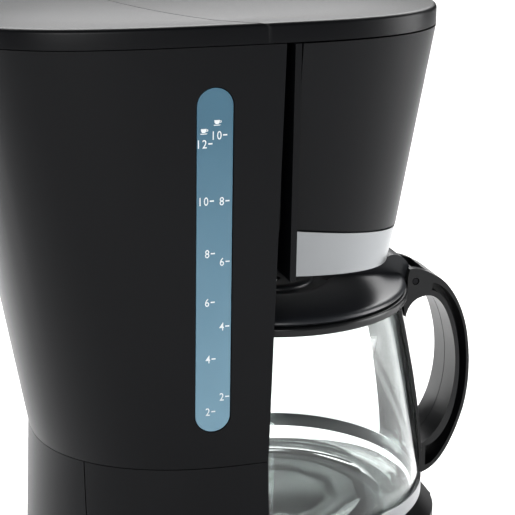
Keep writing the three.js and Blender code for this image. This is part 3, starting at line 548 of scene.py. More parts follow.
# Bright drawn stainless for pins, screws and springs.
PIN_STEEL = Finish("drawn_stainless_steel", "#b4b6b8", 0.25, 0.8, 0.04, 0.05, {"Metallic": 1.0})
# The same steel, chemically blackened: hides against the handle.
DARK_STEEL = Finish("blackened_steel", "#2a2a2c", 0.3, 0.8, 0.04, 0.05, {"Metallic": 1.0})
# Non-stick coating, sprayed: dark, fine orange peel, faint sheen.
PLATE_COAT = Finish("sprayed_non_stick_coating", "#2b2c2e", 0.36, 1.1, 0.1, 0.15)
# Extruded aluminium, as drawn.
ALUMINIUM = Finish("extruded_aluminium", "#c2c4c6", 0.38, 0.7, 0.1, 0.06, {"Metallic": 1.0})
# Milky silicone hose: light soaks in.
SILICONE = Finish(
    "moulded_silicone", "#cfd2d2", 0.5, 1.2, 0.05, 0.05, {"Subsurface Weight": 0.3}
)
# Natural polypropylene: milky, lets light through.
MILKY = Finish(
    "natural_polypropylene", "#d6dada", 0.35, 1.0, 0.05, 0.05, {"Transmission Weight": 0.35}
)
# Silicone-insulated lead.
LEAD_RED = Finish("insulated_lead", "#7c2418", 0.5, 0.8, 0.05, 0.08)
# Screen-printed ink: flat white, very thin.
INK = Finish("screen_printed_ink", "#e6eaec", 0.55, 0.3, 0.05, 0.04)
# Blown borosilicate: colourless, with slow waves.
GLASS = Clear(
    "blown_borosilicate_glass", "#f6faf9", 0.0, 1.0, 0.03, 0.0,
    {"Transmission Weight": 1.0, "IOR": 1.47},
)
# Tinted styrene strip: cool blue, a soft gloss, a little light passing through it, and a painted
# backlight that pales it towards its foot.
GAUGE_BLUE = Tinted(
    "tinted_styrene_painted_backlight", "#4a768c", 0.22, 1.0, 0.02, 0.05, {"Transmission Weight": 0.12, "IOR": 1.59}
)


# ---- Pieces ----------------------------------------------------------------------------------


@dataclass(frozen=True)
class Dress:
    """How a solid becomes a finished piece."""

    body: str
    finish: Finish
    slot: str
    stands_for: tuple[str, ...] = ()
    round_mm: float = 0.5
    smooth_degrees: float = 32.0


def to_frame(mesh: bpy.types.Mesh) -> None:
    """Moves a mesh from millimetres about the jug's axis into the frame, in metres.

    Args:
        mesh: The mesh to move.
    """
    for vertex in mesh.vertices:
        x, y, z = vertex.co
        vertex.co = ((x + AXIS_X) * MM, y * MM, z * MM)


def piece(name: str, solid: Solid, dress: Dress) -> bpy.types.Object:
    """Makes a finished piece from a solid.

    Args:
        name: The piece's name.
        solid: Its shape.
        dress: Body, finish, slot, nodes that it stands for and edge rounding.

    Returns:
        The new object.
    """
    bm = bmesh.new()
    bm.from_mesh(solid.mesh)
    bmesh.ops.remove_doubles(bm, verts=bm.verts, dist=0.004)
    bmesh.ops.dissolve_degenerate(bm, edges=bm.edges, dist=0.002)
    bmesh.ops.dissolve_limit(
        bm, angle_limit=math.radians(0.4), verts=bm.verts, edges=bm.edges, delimit={"NORMAL"}
    )
    mesh = bpy.data.meshes.new(name)
    bm.to_mesh(mesh)
    bm.free()
    to_frame(mesh)
    mesh.shade_smooth()
    mesh.set_sharp_from_angle(angle=math.radians(dress.smooth_degrees))
    thing = bpy.data.objects.new(name, mesh)
    bpy.context.scene.collection.objects.link(thing)
    if dress.round_mm > 0:
        bevel = thing.modifiers.new("edges", "BEVEL")
        bevel.width = dress.round_mm * MM
        bevel.segments = 2
        bevel.limit_method = "ANGLE"
        bevel.angle_limit = math.radians(dress.smooth_degrees)
        bevel.harden_normals = True
        bevel.use_clamp_overlap = True
    mesh.materials.clear()
    mesh.materials.append(dress.finish.build())
    for node in dress.stands_for:
        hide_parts(node)
    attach(thing, dress.body)
    log.info("%s: %d faces", name, len(mesh.polygons))
    return thing


class RepeatTree:
    """Geometry tree that sets a shape on points, makes the copies real and dresses them."""

    def __init__(self, name: str, source: str, values: dict[str, float | int], made: str) -> None:
        """Starts the tree with its named inputs and output.

        Args:
            name: The tree's name.
            source: Name of the geometry that it is given.
            values: Names and values of its number inputs.
            made: Name of the geometry that it makes.
        """
        self.tree = bpy.data.node_groups.new(name, "GeometryNodeTree")
        self.values = values
        face = self.tree.interface
        face.new_socket(source, in_out="INPUT", socket_type="NodeSocketGeometry")
        for label, value in values.items():
            kind = "NodeSocketInt" if isinstance(value, int) else "NodeSocketFloat"
            face.new_socket(label, in_out="INPUT", socket_type=kind).default_value = value
        face.new_socket("Material", in_out="INPUT", socket_type="NodeSocketMaterial")
        face.new_socket(made, in_out="OUTPUT", socket_type="NodeSocketGeometry")
        self.given = add(self.tree, "NodeGroupInput")

    def place(self, links: dict[str, bpy.types.NodeSocket]) -> None:
        """Ends the tree: copies on points, made real and given their material.

        Args:
            links: Sockets with the points, the shape and, where it turns, the rotation.
        """
        copies = add(self.tree, "GeometryNodeInstanceOnPoints", links=links)
        real = add(self.tree, "GeometryNodeRealizeInstances", links={0: copies.outputs[0]})
        dressed = add(
            self.tree,
            "GeometryNodeSetMaterial",
            links={"Geometry": real.outputs[0], "Material": self.given.outputs["Material"]},
        )
        add(self.tree, "NodeGroupOutput", links={0: dressed.outputs[0]})

    def run(self, mesh: bpy.types.Mesh, finish: Finish) -> bpy.types.Mesh:
        """Runs the tree on a mesh.

        Args:
            mesh: The geometry that it is given.
            finish: The copies' finish.

        Returns:
            All copies as one plain mesh.
        """
        thing = bpy.data.objects.new(mesh.name, mesh)
        bpy.context.scene.collection.objects.link(thing)
        modifier = thing.modifiers.new(self.tree.name, "NODES")
        modifier.node_group = self.tree
        inputs = {**self.values, "Material": finish.build()}
        for socket in self.tree.interface.items_tree:
            if socket.name in inputs:
                modifier[socket.identifier] = inputs[socket.name]
        graph = bpy.context.evaluated_depsgraph_get()
        made = bpy.data.meshes.new_from_object(thing.evaluated_get(graph))
        bpy.data.objects.remove(thing)
        return made


def dress_nodes(finish: Finish, names: Iterable[str]) -> None:
    """Gives carried-over nodes a finish.

    Args:
        finish: The finish.
        names: Names of the nodes.
    """
    material = finish.build()
    for name in names:
        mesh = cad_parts[name].data
        mesh.materials.clear()
        mesh.materials.append(material)
        log.info("%s dressed as %s", name, finish.name)


# ---- Body sections ---------------------------------------------------------------------------


@dataclass(frozen=True)
class Level:
    """One oval section of the body."""

    z: float
    half: float
    rear: float
    front: float
    rear_power: float
    front_power: float
    slope: float = 0.0

    def at(self, z: float) -> "Level":
        """The same oval at another height."""
        return Level(
            z, self.half, self.rear, self.front, self.rear_power, self.front_power, self.slope
        )


@dataclass(frozen=True)
class BodyPlan:
    """Oval sections that the column, base, lids and housing share, in millimetres."""

    plan_x: float = -36.8
    wall: float = 2.6
    foot_height: float = 3.0
    deck_top: float = 33.0
    column_foot: float = 87.3
    column_top: float = 278.8
    bay_radius: float = 74.0
    top: tuple[float, float, float, float] = (83.0, 115.8, 104.0, 3.5)
    waist: tuple[float, float, float] = (71.5, 84.0, 2.25)
    skirt: tuple[float, float, float, float] = (75.5, 88.0, 117.0, 2.4)
    front_power: float = 3.1

    def column(self, z: float, inset: float = 0.0) -> Level:
        """Section of the column at a height, drawn in by an inset.

        Args:
            z: Height.
            inset: Millimetres drawn in from the skin.

        Returns:
            The section.
        """
        t = (z - self.column_foot) / (self.column_top - self.column_foot)
        return Level(
            z,
            mix(self.waist[0], self.top[0], t) - inset,
            mix(self.waist[1], self.top[1], t) - inset,
            self.top[2] - inset,
            mix(self.waist[2], self.top[3], t),
            self.front_power,
        )

    def base(self, z: float, inset: float = 0.0) -> Level:
        """Section of the base at a height, drawn in by an inset.

        Args:
            z: Height.
            inset: Millimetres drawn in from the skin.

        Returns:
            The section.
        """
        t = (z - self.foot_height) / (self.column_foot - self.foot_height)
        return Level(
            z,
            mix(self.skirt[0], self.waist[0], t) - inset,
            mix(self.skirt[1], self.waist[1], t) - inset,
            self.skirt[2] - inset,
            self.waist[2],
            self.skirt[3],
        )

    def crown(self, z: float, inset: float) -> Level:
        """Section of the lids at a height, drawn in by an inset."""
        return self.column(self.column_top, inset).at(z)

    @staticmethod
    def _bent(value: float, power: float) -> float:
        """A cosine or sine bent so that a circle becomes a rounder or squarer oval."""
        return math.copysign(abs(value) ** (2 / power), value) if abs(value) > 1e-9 else 0.0

    def loft(self, levels: Sequence[Level], sides: int = BODY_SIDES) -> Solid:
        """Skin through oval sections.

        Args:
            levels: Sections from the lowest up.
            sides: Facets round the body.

        Returns:
            The closed solid.
        """
        rings = []
        for level in levels:
            ring = []
            for i in range(sides):
                turn = 2 * math.pi * i / sides
                along, across = math.cos(turn), math.sin(turn)
                power = level.rear_power if along < 0 else level.front_power
                reach = level.rear if along < 0 else level.front
                x = self.plan_x + reach * self._bent(along, power)
                y = level.half * self._bent(across, power)
                ring.append((x, y, level.z - level.slope * x))
            rings.append(ring)
        return Solid.from_rings(rings)

    def shaft(self, inset: float, longer: float = 0.0) -> Solid:
        """The column's whole shape drawn in, and longer at both ends."""
        ends = (self.column_foot - longer, self.column_top + longer)
        return self.loft([self.column(z, inset) for z in ends])

    def side_y(self, x: float, z: float, inset: float = 0.0) -> float:
        """Half width of the column at a place, as a positive number.

        Args:
            x: Place along X.
            z: Height.
            inset: Millimetres drawn in from the skin.

        Returns:
            The half width.
        """
        level = self.column(z, inset)
        reach, power = (
            (level.rear, level.rear_power)
            if x < self.plan_x
            else (level.front, level.front_power)
        )
        share = min(1.0, abs(x - self.plan_x) / reach)
        return level.half * (1 - share**power) ** (1 / power)

    def bay(self, extra: float = 0.0, low: float = UNDER) -> Solid:
        """Round space of the bay, widened by an extra."""
        return Solid.cylinder(self.bay_radius + extra, low, OVER)


PLAN = BodyPlan()
PIN_BARREL, PIN_HOLE = 4.4, 2.25  # mm, radii of the housing hinge's barrels and bores
LID_BARREL, LID_HOLE = 2.9, 1.7  # mm, radii of the tank lid's hinge barrels and bore


# ---- Column ----------------------------------------------------------------------------------


@dataclass
class WaterColumn:
    """Water tank with its two lids; sizes in millimetres."""

    wing_foot_x: float = -23.6
    wing_top_x: float = -19.3
    split_radius: float = 87.0
    lid_band: float = 8.2
    lid_dome: float = 4.6
    tank_floor: float = 99.3
    duct_half: float = 8.0
    duct_rear: float = 87.8
    outlet: Point2 = (-104.0, -22.0)
    hinge: Point2 = (-155.7, 278.975)
    swing: Point2 = (-7.0, 71.93)
    frame_foot: float = 173.5

    def _wing_cut(self, shift: float, low: float, high: float) -> Solid:
        """Space in front of the column's side edges.

        Args:
            shift: Millimetres moved to the front.
            low: Lower end.
            high: Upper end.

        Returns:
            The space as a solid.
        """
        run = (self.wing_top_x - self.wing_foot_x) / (PLAN.column_top - PLAN.column_foot)
        low_x = self.wing_foot_x + (low - PLAN.column_foot) * run + shift
        high_x = self.wing_foot_x + (high - PLAN.column_foot) * run + shift
        return Solid.slab([(low_x, low), (WIDE, low), (WIDE, high), (high_x, high)], -WIDE, WIDE)

    def _knuckle(self, low: float, high: float, web: Point2) -> Solid:
        """Barrel of the lid's hinge with its web.

        Args:
            low: Start along Y.
            high: End along Y.
            web: Lower and upper side of the web.

        Returns:
            The barrel.
        """
        x, z = self.hinge
        return Solid.cylinder(LID_BARREL, low, high, "y", (x, z), 48).plus(
            Solid.box((x, x + 4.6), (low, high), web)
        )

    def tank(self) -> Solid:
        """Tank with its cavity, duct, gauge slot, hinge barrels and pin lug.

        Returns:
            The tank.
        """
        wall, foot = PLAN.wall, PLAN.column_foot + GAP
        outer = (
            PLAN.loft([PLAN.column(z) for z in (foot, 150, 215, PLAN.column_top)])
            .minus(PLAN.bay())
            .minus(self._wing_cut(0, PLAN.column_foot - 5, PLAN.column_top + 5))
        )

        def inner(low: float, high: float) -> Solid:
            """Space inside the walls between two heights.

            Args:
                low: Lower height.
                high: Upper height.

            Returns:
                The space as a solid.
            """
            return (
                PLAN.loft([PLAN.column(low, wall), PLAN.column(high, wall)])
                .minus(PLAN.bay(wall))
                .minus(self._wing_cut(-wall, PLAN.column_foot - 12, PLAN.column_top + 30))
            )

        front = PLAN.bay_radius + wall
        duct_wall = Solid.box(
            (-self.duct_rear - 2, -front + 1.6), (-self.duct_half - 2, self.duct_half + 2), (0, 400)
        )
        duct = Solid.box(
            (-self.duct_rear, -front + 0.6), (-self.duct_half, self.duct_half), (0, 400)
        )
        body = outer.minus(
            inner(self.tank_floor, PLAN.column_top + 5).minus(duct_wall),
            inner(PLAN.column_foot - 5, self.tank_floor - wall),
            duct,
            Solid.cylinder(5.35, 0, self.tank_floor + 5, at=self.outlet, sides=48),
            GAUGE.prism(GAP, GAUGE.near, GAUGE.back),
        )
        web = (PLAN.column_top - 6, PLAN.column_top)
        body = body.plus(self._knuckle(-32, -20.4, web), self._knuckle(20.4, 32, web))
        body = body.minus(Solid.cylinder(LID_HOLE, -34, 34, "y", self.hinge, 32))
        return body.plus(self._lug())

    def _lug(self) -> Solid:
        """Lower lug of the housing's hinge.

        Returns:
            The lug, bored for the pin.
        """
        low, high = self.frame_foot - 6.5, self.frame_foot - GAP
        x, y = self.swing
        return (
            Solid.box((self.wing_foot_x - 2, x), (y - 3.6, y + 6), (low, high))
            .plus(Solid.cylinder(PIN_BARREL, low, high, at=self.swing, sides=48))
            .minus(PLAN.bay().common(behind(self.wing_top_x)))
            .common(PLAN.shaft(0.4))
            .minus(Solid.cylinder(PIN_HOLE, low + 1.5, high + 1, at=self.swing, sides=32))
        )

    def _crown(self, inset: float) -> Solid:
        """Domed shape of both lids, with a rounded shoulder.

        Args:
            inset: Millimetres drawn in from the skin.

        Returns:
            The dome as a full solid.
        """
        foot = PLAN.column_top + GAP
        top = foot + self.lid_band - inset
        levels = [PLAN.crown(foot - (5 if inset else 0), inset), PLAN.crown(top - 1.6, inset)]
        for step in range(1, 7):
            turn = math.radians(15 * step)
            levels.append(
                PLAN.crown(top - 1.6 + 1.9 * math.sin(turn), inset + 2.2 * (1 - math.cos(turn)))
            )
        for share in (0.1, 0.22, 0.36, 0.5, 0.64, 0.78, 0.9, 1.0):
            rise = self.lid_dome * (1 - (1 - share) ** 1.9)
            levels.append(PLAN.crown(top + max(0.32, rise), inset + 3 + 59 * share))
        return PLAN.loft(levels)

    def tank_lid(self) -> Solid:
        """Rear lid with its hinge barrel.

        Returns:
            The lid.
        """

        def outside(wall: float) -> Solid:
            """The crown behind the round split.

            Args:
                wall: Millimetres drawn in.

            Returns:
                The rear part of the crown.
            """
            return self._crown(wall).minus(
                Solid.cylinder(self.split_radius + GAP + wall, 200, 400)
            )

        web = (PLAN.column_top + GAP, PLAN.column_top + 5)
        return (
            outside(0)
            .minus(outside(PLAN.wall))
            .plus(self._knuckle(-19.8, 19.8, web))
            .minus(Solid.cylinder(LID_HOLE, -34, 34, "y", self.hinge, 32))
        )

    def front_cap(self) -> Solid:
        """Fixed front cap over the filter housing.

        Returns:
            The cap with its boss for the pin.
        """

        def inside(wall: float) -> Solid:
            """The crown within the round split."""
            return self._crown(wall).common(Solid.cylinder(self.split_radius - wall, 200, 400))

        barrel = Solid.cylinder(PIN_BARREL, PLAN.column_top + GAP, 290, at=self.swing, sides=48)
        boss = barrel.common(self._crown(0.4))
        hole = Solid.cylinder(PIN_HOLE, 270, PLAN.column_top + 6, at=self.swing, sides=32)
        return inside(0).minus(inside(PLAN.wall)).plus(boss).minus(hole)

    def build(self) -> None:
        """Builds and dresses the column's pieces."""
        black = ("machine", SATIN_BLACK, "moulded_black")
        piece("column_tank", self.tank(), Dress(*black, ("tank_body",), 0.7))
        piece("column_front_cap", self.front_cap(), Dress(*black, ("front_cap",), 0.5, 24))
        lid = Dress("tank_lid", SATIN_BLACK, "moulded_black", ("tank_lid",), 0.5, 24)
        piece("column_tank_lid", self.tank_lid(), lid)


# ---- Level gauge -----------------------------------------------------------------------------


@dataclass
class LevelGauge:
    """Blue level window with its printed cup scale; sizes in millimetres."""

    x: float = -49.6
    width: float = 15.6
    low: float = 105.6
    high: float = 261.8
    near: float = -110.0
    back: float = -66.0
    digit_height: float = 3.7
    ink: float = 0.12
    skin: float = 0.25
    tick: Point2 = (1.8, 0.6)
    tick_x: float = 3.4
    digit_x: float = 2.0
    digit_narrow: float = 0.82
    font_share: float = 1.42
    cups: tuple[Point2, ...] = ((-48.7, 246.9), (-54.4, 243.4))
    right_marks: tuple[tuple[str, float, float], ...] = (
        ("10", -48.7, 241.6),
        ("8", -47.4, 212.8),
        ("6", -47.1, 185.6),
        ("4", -46.9, 155.7),
        ("2", -46.6, 122.2),
    )
    left_marks: tuple[tuple[str, float, float], ...] = (
        ("12", -55.0, 238.1),
        ("10", -54.2, 213.1),
        ("8", -53.6, 189.6),
        ("6", -53.5, 167.3),
        ("4", -52.9, 140.7),
        ("2", -52.8, 115.4),
    )

    def _outline(self, margin: float) -> list[Point2]:
        """Upright outline with round ends.

        Args:
            margin: Millimetres added all round.

        Returns:
            Points of X and Z.
        """
        radius = self.width / 2 + margin
        points = []
        for centre, start in ((self.high - self.width / 2, 0), (self.low + self.width / 2, 180)):
            for step in range(33):
                turn = math.radians(start + step * 180 / 32)
                points.append((self.x + radius * math.cos(turn), centre + radius * math.sin(turn)))
        return points

    def prism(self, margin: float, near: float, far: float) -> Solid:
        """The outline as a bar through the column's side."""
        return Solid.slab(self._outline(margin), near, far)

    def window(self) -> Solid:
        """Window strip that follows the column's skin.

        Returns:
            The strip.
        """
        skin = PLAN.shaft(self.skin)
        core = PLAN.shaft(PLAN.wall, 5)
        return skin.minus(core).common(self.prism(0, self.near, self.back))

    def _onto_skin(self, mesh: bpy.types.Mesh) -> None:
        """Lays flat print, drawn as X, Z and thickness, on the window's face.

        Args:
            mesh: The print, changed in place.
        """
        for vertex in mesh.vertices:
            x, z, depth = vertex.co
            vertex.co = (x, -(PLAN.side_y(x, z, self.skin) + depth), z)

    def _digits(self) -> bpy.types.Mesh:
        """Numbers of both scales as one flat mesh.

        Returns:
            The numbers and cups, drawn as X, Z and thickness.
        """
        bm = bmesh.new()
        for text, x, z in self.right_marks + self.left_marks:
            curve = bpy.data.curves.new("digits", "FONT")
            curve.body = text
            curve.size = self.digit_height * self.font_share
            curve.align_x = "RIGHT"
            curve.resolution_u = 3
            curve.offset = 0.02
            curve.space_character = 1.22
            thing = bpy.data.objects.new("digits", curve)
            bpy.context.scene.collection.objects.link(thing)
            graph = bpy.context.evaluated_depsgraph_get()
            flat = bpy.data.meshes.new_from_object(thing.evaluated_get(graph))
            bpy.data.objects.remove(thing)
            for vertex in flat.vertices:
                vertex.co.x = x + self.digit_x + vertex.co.x * self.digit_narrow
                vertex.co.y = z - self.digit_height / 2 + vertex.co.y
            bm.from_mesh(flat)
        for x, z in self.cups:
            self._cup(bm, x, z)
        bmesh.ops.triangulate(bm, faces=bm.faces)
        bmesh.ops.subdivide_edges(bm, edges=bm.edges, cuts=1)
        found = bmesh.ops.extrude_face_region(bm, geom=list(bm.faces))
        for item in found["geom"]:
            if isinstance(item, bmesh.types.BMVert):
                item.co.z = self.ink
        bmesh.ops.recalc_face_normals(bm, faces=bm.faces)
        mesh = bpy.data.meshes.new("gauge_digits")
        bm.to_mesh(mesh)
        bm.free()
        return mesh

    @staticmethod
    def _cup(bm: bmesh.types.BMesh, x: float, z: float) -> None:
        """Small cup drawn as a bowl, a handle loop and a saucer.

        Args:
            bm: Mesh that takes the cup.
            x: Middle of the cup.
            z: Height.
        """
        bowl = [(-1.3, 1.2), (1.1, 1.2), (1.0, 0.2), (0.5, -0.5), (-0.7, -0.5), (-1.2, 0.2)]
        loop = [(1.15, 1.0), (1.8, 0.9), (1.8, 0.1), (1.0, -0.1), (1.05, 0.2), (1.45, 0.3),
                (1.45, 0.7), (1.13, 0.75)]
        dish = [(-1.7, -0.8), (1.5, -0.8), (1.1, -1.15), (-1.3, -1.15)]
        for outline in (bowl, loop, dish):
            bm.faces.new([bm.verts.new((x + u, z + v, 0)) for u, v in outline])

    def _ticks(self) -> bpy.types.Mesh:
        """Ticks beside the numbers, one at each mark.

        Returns:
            The ticks, drawn flat as X, Z and thickness.
        """
        width, height = self.tick
        sizes = {"Width": width, "Height": height, "Thickness": self.ink}
        ticks = RepeatTree("scale_ticks", "Marks", sizes, "Ticks")
        size = add(
            ticks.tree,
            "ShaderNodeCombineXYZ",
            links={i: ticks.given.outputs[name] for i, name in enumerate(sizes)},
        )
        tick = add(ticks.tree, "GeometryNodeMeshCube", links={"Size": size.outputs[0]})
        points = add(
            ticks.tree, "GeometryNodeMeshToPoints", links={"Mesh": ticks.given.outputs["Marks"]}
        )
        ticks.place({"Points": points.outputs[0], "Instance": tick.outputs[0]})
        marks = bpy.data.meshes.new("marks")
        places = self.right_marks + self.left_marks
        marks.from_pydata([(x + self.tick_x, z, self.ink / 2) for _, x, z in places], [], [])
        return ticks.run(marks, INK)

    def build(self) -> None:
        """Builds the window and its print."""
        dress = Dress("machine", GAUGE_BLUE, "gauge_blue", ("gauge_window",), 0.45, 40)
        piece("gauge_strip", self.window(), dress)
        for name, mesh in (("gauge_numbers", self._digits()), ("gauge_ticks", self._ticks())):
            self._onto_skin(mesh)
            piece(name, Solid(mesh), Dress("machine", INK, "gauge_blue", (), 0, 60))


GAUGE = LevelGauge()


# ---- Base ------------------------------------------------------------------------------------


@dataclass
class BaseUnit:
    """Base with its hot plate, switch and feet; sizes in millimetres."""

    wing_foot_x: float = -23.6
    plate_hole: float = 62.0
    plate_radius: float = 68.2
    plate_top: float = 36.0
    cover_x: float = -103.7
    switch: tuple[float, float, float] = (12.0, 18.0, 18.2)
    gland: tuple[float, float] = (5.85, 30.0)

    def _shell(self) -> Solid:
        """Outer shell of the base, hollow and open below.

        Returns:
            The shell.
        """
        wall = PLAN.wall
        switch_x = PLAN.plan_x + PLAN.skirt[2]
        width, height, middle = self.switch
        floor = PLAN.loft([PLAN.base(-1, wall), PLAN.base(PLAN.deck_top - wall, wall)])
        riser = (
            PLAN.loft([PLAN.base(0, wall), PLAN.base(PLAN.column_foot + 5, wall)])
            .minus(PLAN.bay(wall))
            .minus(ahead(self.wing_foot_x - wall))
        )
        cut = Solid.box((self.wing_foot_x, WIDE), (-WIDE, WIDE), (PLAN.deck_top, 200))
        return PLAN.loft([PLAN.base(PLAN.foot_height), PLAN.base(PLAN.column_foot)]).minus(
            cut,
            PLAN.bay(0, PLAN.deck_top),
            floor.plus(riser),
            Solid.cylinder(self.plate_hole, 0, 60),
            Solid.box(
                (switch_x - 20, switch_x + 20),
                (-width / 2 - 2.35, width / 2 + 2.35),
                (middle - height / 2 - 2.35, middle + height / 2 + 2.35),
            ),
            Solid.cylinder(self.gland[0], -180, -90, "x", (self.gland[1], 18), 48),
        )

    def _plate(self) -> Solid:
        """Pressed hot plate with a rolled edge.

        Returns:
            The plate.
        """
        rim, top, low = self.plate_radius, self.plate_top, PLAN.deck_top + GAP
        under, skirt = top - 1.5, self.plate_hole - 1
        edge = bezier([(rim - 2.2, top), (rim, top), (rim, top - 2.0)], 8)
        ridge = []
        for radius, width in ((24, 6), (40, 5), (rim - 10, 4)):
            ridge += [(radius, top - 0.8), (radius + 1.2, top), (radius + width, top)]
            ridge += [(radius + width + 1.2, top - 0.8)]
        ridge[-1] = (rim - 5, top)
        return Solid.turned(
            [(0, top - 0.8), *ridge, (rim - 2.2, top), *edge, (rim, low), (rim - 0.8, low),
             (rim - 0.8, under), (skirt, under), (skirt, 30), (skirt - 0.8, 30),
             (skirt - 0.8, under), (0, under)]
        )

    def _rocker(self) -> Solid:
        """Switch rocker with a dished face.

        Returns:
            The rocker.
        """
        x = PLAN.plan_x + PLAN.skirt[2]
        width, height, middle = self.switch
        h = height / 2
        face = bezier(
            [(x + 2.4, middle - h + 0.6), (x + 0.6, middle - 2), (x + 2.2, middle + 3),
             (x + 4, middle + h - 1)], 16
        )
        outline = [(x - 7, middle - h + 1.6), (x + 2.4, middle - h + 0.6), *face,
                   (x - 7, middle + h - 1.6)]
        return Solid.slab(outline, -width / 2, width / 2)

    def build(self) -> None:
        """Builds and dresses the base."""
        shell = self._shell()
        black = ("machine", SATIN_BLACK, "moulded_black")
        front, back = shell.common(ahead(self.cover_x + GAP)), shell.common(behind(self.cover_x))
        piece("base_front", front, Dress(*black, ("base_shell",), 0.6))
        piece("base_back", back, Dress(*black, ("base_rear_cover",), 0.35))
        plate = Dress("machine", PLATE_COAT, "plate_coating", ("hot_plate",), 0.2, 34)
        piece("warming_plate", self._plate(), plate)
        rocker = Dress("rocker", GLOSS_BLACK, "gloss_black", ("rocker_switch",), 0.4, 40)
        piece("switch_rocker", self._rocker(), rocker)
        dress_nodes(SATIN_BLACK, ["base_plate", "head_plate"])
        dress_nodes(GLOSS_BLACK, ["switch_frame"])
        dress_nodes(RUBBER, [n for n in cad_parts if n.startswith("foot_")] + ["cord_gland"])


# ---- Filter housing --------------------------------------------------------------------------


